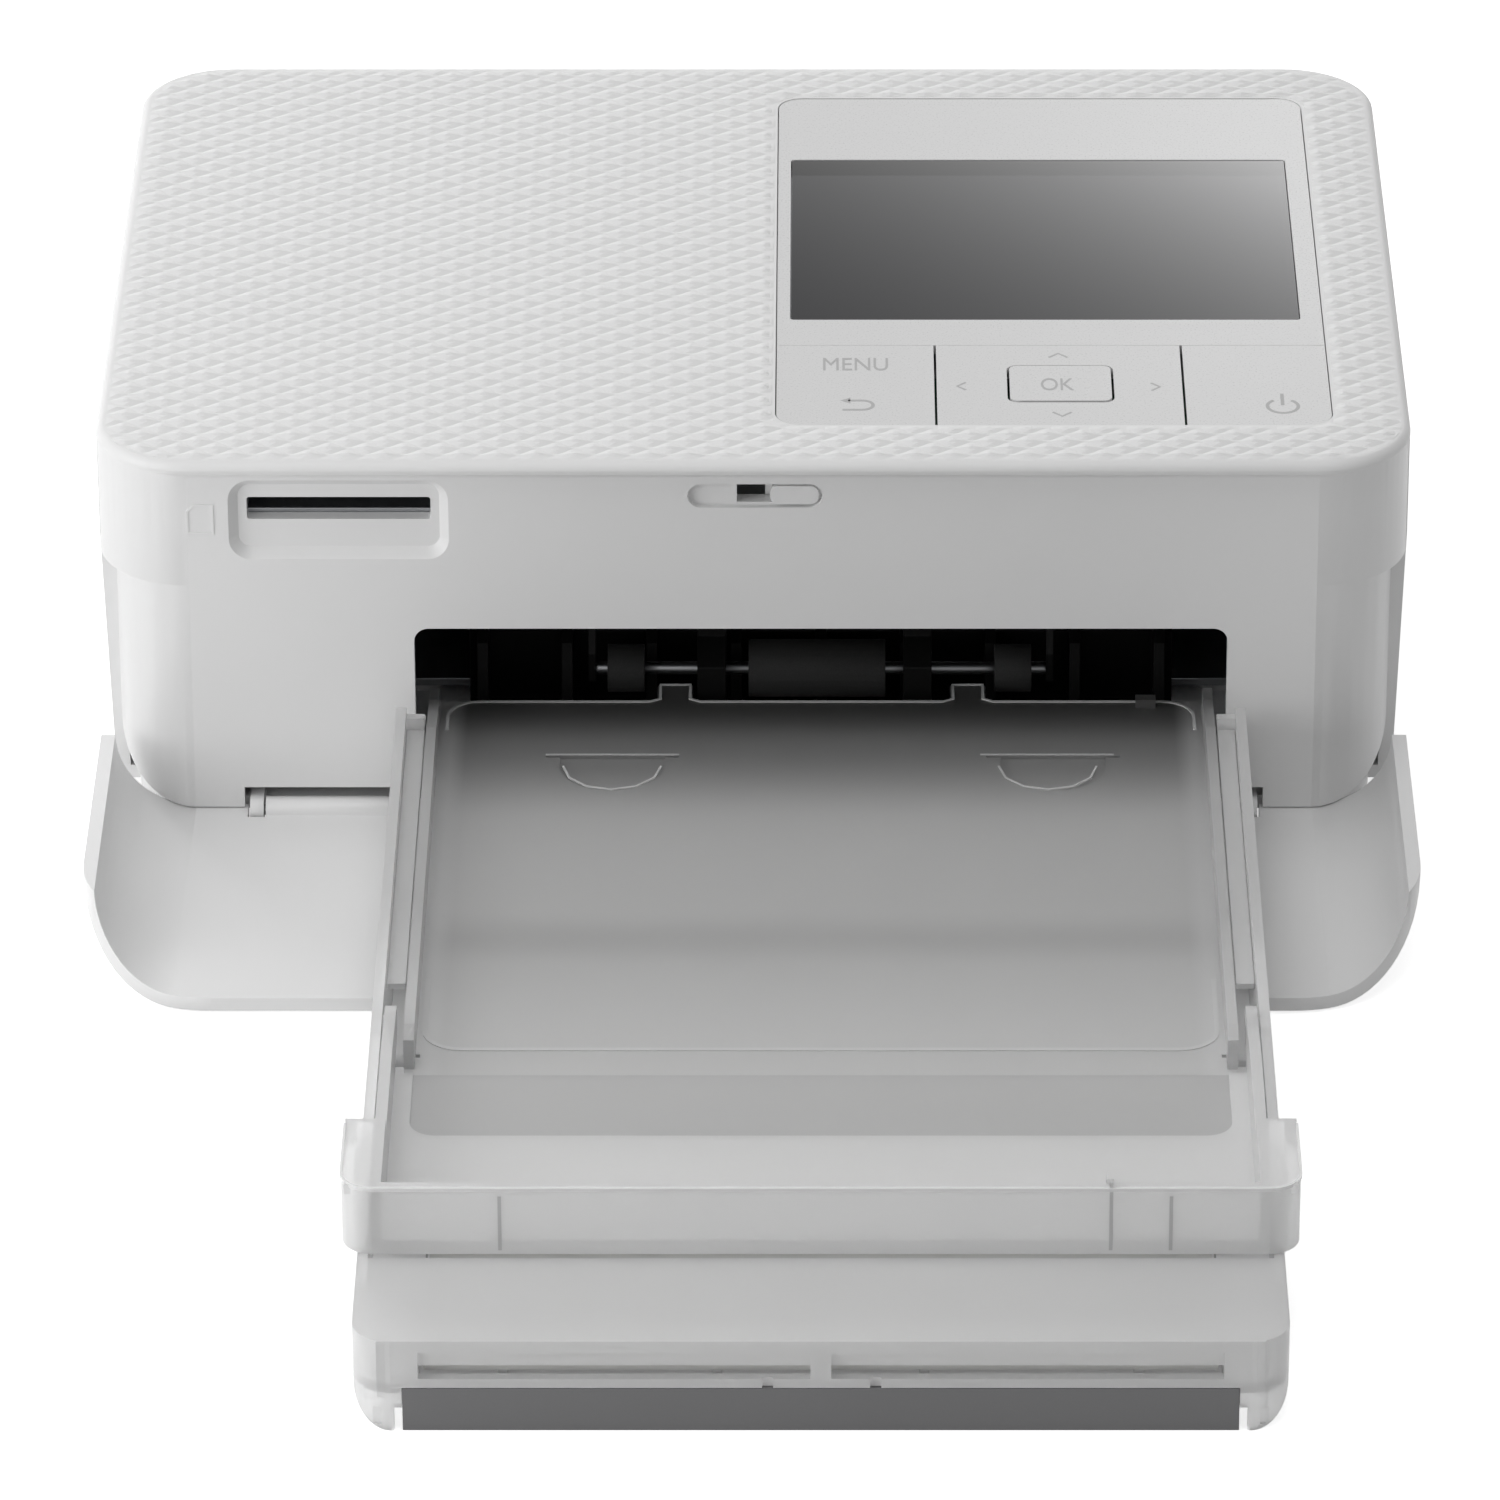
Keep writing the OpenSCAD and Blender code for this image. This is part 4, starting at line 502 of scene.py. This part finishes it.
black_shader.inputs["Specular IOR Level"].default_value = 0.15
print("parts with a finish of their own:", len(own_finish))

# %% [markdown]
# ## Display
# The display is black under a hard coat that mirrors like glass. Its active area is a little
# paler than the border behind it, and the two meet at a line.

# %% Display's hard coat
display_line = 94.6


def display(name, active, border, edge_y):
    """Hard-coated display: one colour up to the line edge_y, in millimetres, and another beyond."""
    material, tree, shader, at = new_material(name)
    axes = add_node(tree, "ShaderNodeSeparateXYZ", {0: at})
    beyond = add_node(tree, "ShaderNodeMath", {
        0: axes.outputs["Y"], 1: (edge_y + front_to_middle) / 1000}, operation="GREATER_THAN")
    tone = add_node(tree, "ShaderNodeMix", {
        0: beyond.outputs[0], 6: linear(active), 7: linear(border)}, data_type="RGBA")
    tree.links.new(tone.outputs[2], shader.inputs["Base Color"])
    shader.inputs["Roughness"].default_value = 0.08
    shader.inputs["IOR"].default_value = 1.5
    return material


# The hard coat shows a clear, only slightly blurred mirror image on black.
finish["display_glass"] = display("display_hard_coat", "#343436", "#060606", display_line)
print("finishes:", len(finish))

# %% [markdown]
# ## Finishes on the CAD parts
# Each CAD part takes the finish that the record names for it. Real mouldings have no knife edges,
# so a weld and a narrow bevel soften every edge sharper than 35 degrees. The bevel's width is that
# of the real edge where it shows, and 0.12 mm elsewhere.

# %% Dress the CAD parts
slot_of = {row["node"]: row["material_slot"] for row in frame["record"]["subparts"]}
edge_of = {"display_window": 0.08, "control_panel": 0.12, "top_cover": 0.25, "front_panel": 0.35,
           "front_cover": 0.5, "upper_case": 0.3, "lower_case": 0.3, "cassette_tray": 0.3,
           "inner_lid": 0.25, "catch_tray": 0.35, "ink_film": 0.0, "lift_plate": 0.1,
           "paper_stack": 0.0}
usual_edge = 0.12
for name, part in parts.items():
    part.data.materials.clear()
    part.data.materials.append(own_finish.get(name, finish[slot_of[name]]))
    edge = edge_of.get(name, usual_edge)
    if edge:
        weld = part.modifiers.new("weld", "WELD")
        weld.merge_threshold = 1e-6
        bevel = part.modifiers.new("soft_edges", "BEVEL")
        bevel.width = edge / 1000
        bevel.segments = 2
        bevel.limit_method = "ANGLE"
        bevel.angle_limit = math.radians(35)
        bevel.use_clamp_overlap = True
        bevel.harden_normals = True
print("dressed", len(slot_of), "nodes")

# %% [markdown]
# ## Making meshes
# The relief and the marks are closed shapes made from flat outlines. The outline is laid down
# twice, low and high, and its edges are joined by walls. Everything is worked out as whole numpy
# arrays, which is quick and keeps each formula in one line.


# %% Outlines and prisms
def oblong(x0, y0, x1, y1):
    """Corners of a plain rectangle, anticlockwise."""
    return [(x0, y0), (x1, y0), (x1, y1), (x0, y1)]


def rounded(x0, y0, x1, y1, radius, steps=8):
    """Outline of a rounded rectangle, anticlockwise: quarter circles round each corner's centre."""
    turn = np.radians(np.arange(4)[:, None] * 90 + np.linspace(0, 90, steps + 1)[None, :])
    centre_x = np.array([x1 - radius, x0 + radius, x0 + radius, x1 - radius])[:, None]
    centre_y = np.array([y1 - radius, y1 - radius, y0 + radius, y0 + radius])[:, None]
    return np.stack([(centre_x + radius * np.cos(turn)).ravel(),
                     (centre_y + radius * np.sin(turn)).ravel()], 1)


def prism(outline, low, high, axis=2):
    """A closed prism: the outline at two places along an axis, with one wall for each edge."""
    outline = np.asarray(outline, float)
    count = len(outline)
    points = np.zeros((2 * count, 3))
    points[:, [k for k in range(3) if k != axis]] = np.tile(outline, (2, 1))
    points[:count, axis] = low
    points[count:, axis] = high
    here = np.arange(count)
    after = (here + 1) % count
    sides = np.stack([here, after, after + count, here + count], 1)
    return points, [here[::-1].tolist(), (here + count).tolist()] + sides.tolist()


def joined(shapes):
    """Several closed shapes as one list of points and one list of faces."""
    starts = np.cumsum([0] + [len(points) for points, _ in shapes])
    faces = [[int(k) + int(start) for k in face]
             for (_, rows), start in zip(shapes, starts) for face in rows]
    return np.concatenate([points for points, _ in shapes]), faces


# %% [markdown]
# One function puts points and faces into a mesh with its faces pointing out. Another cuts one
# closed shape with others, by solid arithmetic, which leaves clean edges where a grid of faces
# would leave steps. A third finishes a piece: it gives it its material and its body.


# %% Meshes, cuts and pieces
def closed_mesh(name, points, faces):
    """A mesh from points in millimetres of the drawing, with its faces turned outwards."""
    mesh = bpy.data.meshes.new(name)
    mesh.from_pydata(metres(points).tolist(), [], faces)
    work = bmesh.new()
    work.from_mesh(mesh)
    bmesh.ops.recalc_face_normals(work, faces=work.faces)
    work.to_mesh(mesh)
    work.free()
    return mesh


def carve(name, mesh, cuts):
    """The mesh after each cut, which is a closed shape with DIFFERENCE or INTERSECT."""
    shape = placed(name, mesh)
    helpers = []
    for (points, faces), operation in cuts:
        helper = placed("cutter", closed_mesh("cutter", points, faces))
        helpers.append(helper)
        step = shape.modifiers.new("cut", "BOOLEAN")
        step.object = helper
        step.operation = operation
        step.solver = "MANIFOLD"
    result = bpy.data.meshes.new_from_object(
        shape.evaluated_get(bpy.context.evaluated_depsgraph_get()))
    for helper in helpers + [shape]:
        bpy.data.objects.remove(helper)
    return result


def add_piece(name, mesh, material, body):
    """A finished piece: its mesh with one material, riding on a body, under the given name."""
    mesh.materials.clear()
    mesh.materials.append(material)
    piece = placed(name, mesh)
    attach(piece, body)
    print("made", name, "with", len(mesh.polygons), "faces")
    return piece


# %% [markdown]
# ## Relief on the top
# The top is moulded with rows of low diamonds that catch the light, each 5.2 mm wide and 4.2 mm
# deep. It could be a bump, but real geometry gives the diamonds their true outline at the edges.
# The height is a function of the place alone: two slanting coordinates count the rows of diamonds,
# and a diamond is highest where both are whole numbers. The relief fades out towards the rim of
# the top and round the control panel.

# %% Height of the relief
cell_x, cell_y = 5.21, 4.224
first_start, second_start = 0.884, 0.699
relief = 0.42
rim, panel_gap, fade = 1.3, 0.5, 1.2


def inside_by(x, y, x0, y0, x1, y1, radius):
    """How far a point is inside a rounded rectangle: radius less the way beyond its inner box."""
    across = np.abs(x - (x0 + x1) / 2) - (x1 - x0) / 2 + radius
    along = np.abs(y - (y0 + y1) / 2) - (y1 - y0) / 2 + radius
    inner = np.minimum(np.maximum(across, along), 0)
    return radius - (np.hypot(np.maximum(across, 0), np.maximum(along, 0)) + inner)


def diamonds(x, y):
    """Height of the relief: each diamond is a pyramid, highest at its middle; borders are flat."""
    first = x / cell_x + y / cell_y - first_start
    second = x / cell_x - y / cell_y - second_start
    slope = np.maximum(np.abs(first - np.round(first)), np.abs(second - np.round(second)))
    border = np.minimum(inside_by(x, y, *top_outline) - rim,
                        -inside_by(x, y, *panel_outline) - panel_gap)
    return relief * (1 - 2 * slope) * np.clip(border / fade, 0, 1)


print("diamonds:", cell_x, "x", cell_y, "mm,", relief, "mm high")

# %% [markdown]
# The surface is a grid laid along the diamonds' own slanting rows, so that every ridge and valley
# lies on the grid's lines. A square grid would need many more faces for ridges as sharp.
# The grid is closed to a thin slab and cut to the outline of the top and of the control panel.

# %% Relief skin
per_cell = 4
row_low, row_high = -19, 52
skin_lift, skin_sink, window_gap, cut_reach = 0.01, 0.05, 0.65, 1.0

first_axis = np.arange(row_low * per_cell, row_high * per_cell) / per_cell + first_start
second_axis = np.arange(-row_high * per_cell, -row_low * per_cell) / per_cell + second_start
first, second = np.meshgrid(first_axis, second_axis, indexing="ij")
skin_x = (first + second) * cell_x / 2
skin_y = (first - second) * cell_y / 2
top_points = np.stack([skin_x, skin_y, body_h + skin_lift + diamonds(skin_x, skin_y)], -1)
top_points = top_points.reshape(-1, 3)

rows, columns = first.shape
index = np.arange(rows * columns).reshape(rows, columns)
squares = np.stack([index[:-1, :-1], index[1:, :-1], index[1:, 1:], index[:-1, 1:]], -1)
edge = np.concatenate([index[:-1, 0], index[-1, :-1], index[:0:-1, -1], index[0, :0:-1]])
under = top_points[edge] * [1, 1, 0] + [0, 0, body_h - skin_sink]
below = rows * columns + np.arange(len(edge))
walls = np.stack([edge, np.roll(edge, -1), np.roll(below, -1), below], 1)
slab = closed_mesh("relief_slab", np.concatenate([top_points, under]),
                   squares.reshape(-1, 4).tolist() + walls.tolist() + [below.tolist()])

low, high = body_h - cut_reach, body_h + cut_reach
skin = carve("relief", slab, [
    (prism(rounded(*grown(top_outline, -rim), 12), low, high), "INTERSECT"),
    (prism(rounded(*grown(panel_outline, window_gap)), low, high), "DIFFERENCE")])
add_piece("relief_skin", skin, finish["white_abs"], "case")

# %% [markdown]
# ## Legends
# The keys carry pale grey printed words and marks. Ink lies on the film a few hundredths of a
# millimetre thick, so each mark is a thin plate on its key, and it moves with the key. Strokes are
# ribbons along a path. The words come from Blender's own letters, fitted to the size that the
# photograph shows, because any plain letters will do for generic words.

# %% Strokes, words and marks
ink = 0.02
# Pad-printed ink is a flat, pale grey with a dull surface.
finish["print"] = grained("pad_printed_ink", "#b2b2b2", "#aeaeae", 0.45, 0.2, 0.001)


def ribbon(path, width):
    """Outline of a stroke: the path moved half a width to its left, and back along its right."""
    path = np.asarray(path, float)
    along = np.gradient(path, axis=0)
    along /= np.linalg.norm(along, axis=1, keepdims=True)
    side = np.stack([-along[:, 1], along[:, 0]], 1) * width / 2
    return np.concatenate([path + side, (path - side)[::-1]])


def arc(centre, radius, start, end, steps=20):
    """Points on a circle between two angles in degrees: centre + radius x (cos, sin)."""
    turn = np.radians(np.linspace(start, end, steps))
    return np.asarray(centre) + radius * np.stack([np.cos(turn), np.sin(turn)], 1)


def word(name, text, x0, y0, x1, y1, low):
    """A word in the built-in letters, made a mesh and stretched to its box, so that the thickness
    given to the letters only has to be more than nothing."""
    curve = bpy.data.curves.new(name, "FONT")
    curve.body = text
    curve.extrude = 0.1
    holder = placed(name, curve)
    mesh = bpy.data.meshes.new_from_object(
        holder.evaluated_get(bpy.context.evaluated_depsgraph_get()))
    bpy.data.objects.remove(holder)
    points = np.zeros(len(mesh.vertices) * 3)
    mesh.vertices.foreach_get("co", points)
    points = points.reshape(-1, 3)
    least, most = points.min(0), points.max(0)
    box_low, box_high = np.array([x0, y0, low - ink]), np.array([x1, y1, low + ink])
    points = metres(box_low + (points - least) / (most - least) * (box_high - box_low))
    mesh.vertices.foreach_set("co", points.ravel())
    mesh.update()
    return mesh


def mark(name, outlines, low, body):
    """A printed mark from one or more flat outlines, lying on the height low."""
    points, faces = joined([prism(outline, low - ink, low + ink) for outline in outlines])
    add_piece(name, closed_mesh(name, points, faces), finish["print"], body)


# %% [markdown]
# The menu key has its word and a bent arrow for going back. The middle key says OK. The power key
# has the usual ring with a bar, and the four-way key a small arrow head at each side.

# %% Printed legends
key_top, ok_top = 57.3, 57.4
add_piece("menu_word", word("menu_word", "MENU", 9.7, 29.4, 18.8, 33.4, key_top),
          finish["print"], "menu_key")
add_piece("ok_word", word("ok_word", "OK", 40.1, 22.9, 44.7, 26.7, ok_top),
          finish["print"], "ok_key")
bend = arc((15.2, 18.4), 1.45, 90, -90, 12)
mark("back_mark", [ribbon(np.concatenate([[(13.2, 19.85)], bend, [(12.4, 16.95)]]), 0.5),
                   [(12.1, 19.85), (13.5, 18.95), (13.5, 20.75)]], key_top, "menu_key")
mark("power_mark", [ribbon(arc((73.6, 18.1), 2.15, 125, 415, 28), 0.5),
                    oblong(73.35, 18.4, 73.85, 22.0)], key_top, "power_key")
mark("way_marks", [ribbon([(41.4, 33.6), (42.7, 34.9), (44.0, 33.6)], 0.35),
                   ribbon([(41.6, 16.2), (42.9, 14.9), (44.2, 16.2)], 0.35),
                   ribbon([(29.6, 23.2), (28.4, 24.4), (29.6, 25.6)], 0.35),
                   ribbon([(55.5, 23.0), (56.7, 24.2), (55.5, 25.4)], 0.35)],
     key_top, "four_way_key")

# %% [markdown]
# ## Card mark
# A small raised outline of a card, with its cut corner, marks the card slot. It is moulded in the
# front panel, so it has the panel's own finish and shows by its edges alone. It is a ring of five
# bars, which stand out of the panel's face by 0.12 mm.

# %% Card mark on the front
card_outline = np.array([(-78.2, 45.4), (-74.4, 45.4), (-74.4, 50.0), (-77.2, 50.0), (-78.2, 49.0)])
inner = card_outline + np.array([(0.3, 0.3), (-0.3, 0.3), (-0.3, -0.3), (0.15, -0.3), (0.3, -0.15)])
mark_out, mark_in = 2.08, 2.4
bars = [[card_outline[k], card_outline[(k + 1) % 5], inner[(k + 1) % 5], inner[k]]
        for k in range(5)]
ring = joined([prism(bar, mark_out, mark_in, 1) for bar in bars])
add_piece("card_mark", closed_mesh("card_mark", *ring), finish["white_satin"],
          "case")

# %% [markdown]
# ## Bright edges of the lid
# Clear plastic shows its edges as bright lines, because light that enters the sheet comes out
# there. The lid has such lines at its rear edge with its two tabs, along its front fold, and round
# its two half-moon finger marks. A renderer finds such light only with very many samples, so the
# lines are fine beads, laid as ribbons on the lid. The rear bead is a painted highlight: a
# near-white plastic that stands in for that light, while the front bead and the moons are of the
# cassette's own frosted plastic. Each ribbon is open at its ends, because a closed one would cross
# itself.

# %% Beads of the lid
lid_top, bead_sink, bead_rise = 13.3, 0.05, 0.12
moon_r, moon_y, moon_line_y, moon_half = 6.8, -5.8, -2.4, 9.3


def turned(centre, radius, start, end):
    """A few points on a part of a circle, as a list of pairs."""
    return [tuple(point) for point in arc(centre, radius, start, end, 7)]


rear_line = [(-42.9, 5.0)] + turned((-38.4, 8.9), 4.5, 180, 90)
for tab_x in (-11.1, 30.1):
    rear_line += [(tab_x - 3.5, 13.4), (tab_x - 2.1, 14.2), (tab_x - 2.1, 18.5),
                  (tab_x + 2.1, 18.5), (tab_x + 2.1, 14.2), (tab_x + 3.5, 13.4)]
rear_line += turned((57.2, 8.9), 4.5, 90, 0) + [(61.7, 5.0)]
front_line = ([(-43.0, -66.0)] + turned((-38.0, -79.8), 5.0, 180, 270)
              + turned((56.8, -79.8), 5.0, 270, 360) + [(61.8, -66.0)])
moons = []
for moon_x in (-19.6, 40.9):
    moons.append(ribbon(turned((moon_x, moon_y), moon_r, 180, 360), 0.3))
    moons.append(ribbon([(moon_x - moon_half, moon_line_y), (moon_x, moon_line_y),
                         (moon_x + moon_half, moon_line_y)], 0.3))
# The rear bead's near-white plastic is a painted highlight; the other beads are frosted like the
# cassette.
for name, outlines, edge_finish in (
        ("lid_rear_bead", [ribbon(rear_line, 0.45)], "painted_edge_highlight"),
        ("lid_front_bead", [ribbon(front_line, 0.7)] + moons, "frosted_clear")):
    bead = joined([prism(outline, lid_top - bead_sink, lid_top + bead_rise)
                   for outline in outlines])
    add_piece(name, closed_mesh(name, *bead), finish[edge_finish], "print_lid")

# %% [markdown]
# ## Lip of the catch tray
# The catch tray has such a bead along the top of its lip, a painted highlight in the near-white
# edge plastic, and three ribs show through the lip as darker lines. These lines are painted shade:
# thin strips of a greyer plastic on the outside of the lip, since its frosted wall hides what
# stands behind it.

# %% Bead and ribs of the lip
lip_y, lip_top, tray_floor, lip_half, lip_r = -137.3, 23.2, 13.5, 61.0, 4.0
lip_end = -121.0
lip_line = ([(paper_x - lip_half, lip_end)]
            + turned((paper_x - lip_half + lip_r, lip_y + lip_r), lip_r, 180, 270)
            + turned((paper_x + lip_half - lip_r, lip_y + lip_r), lip_r, 270, 360)
            + [(paper_x + lip_half, lip_end)])
# The bead's near-white plastic is a painted highlight along the top of the lip.
lip_edge = joined([prism(ribbon(lip_line, 0.35), lip_top - 0.4, lip_top + 0.08)])
add_piece("lip_highlight_bead", closed_mesh("lip_highlight_bead", *lip_edge), finish["painted_edge_highlight"],
          "catch")

# Strips of a greyer plastic paint the shade of the ribs that show through the lip.
rib_tops = ((-31.6, 22.0), (46.0, lip_top + 0.9), (53.6, 22.0))
rib_w, rib_foot = 0.45, tray_floor + 0.6
ribs = joined([prism(oblong(x, lip_y - 0.06, x + rib_w, lip_y + 0.3), rib_foot, top)
               for x, top in rib_tops])
add_piece("lip_rib_lines", closed_mesh("lip_rib_lines", *ribs), finish["rib_shade"],
          "catch")

# %% [markdown]
# ## Ledges on the rails
# A pale ledge runs beside the lid along the inner face of each side rail of the cassette. It is a
# plain bar, as its ends don't show.

# %% Ledges on the rails
ledge_w, ledge_front, ledge_rear, ledge_low, ledge_top = 2.4, -74.0, 2.0, 16.4, 17.2
ledges = joined([prism(oblong(x, ledge_front, x + ledge_w, ledge_rear), ledge_low, ledge_top)
                 for x in (-48.1, 64.5)])
add_piece("rail_ledges", closed_mesh("rail_ledges", *ledges), finish["frosted_clear"],
          "cassette")
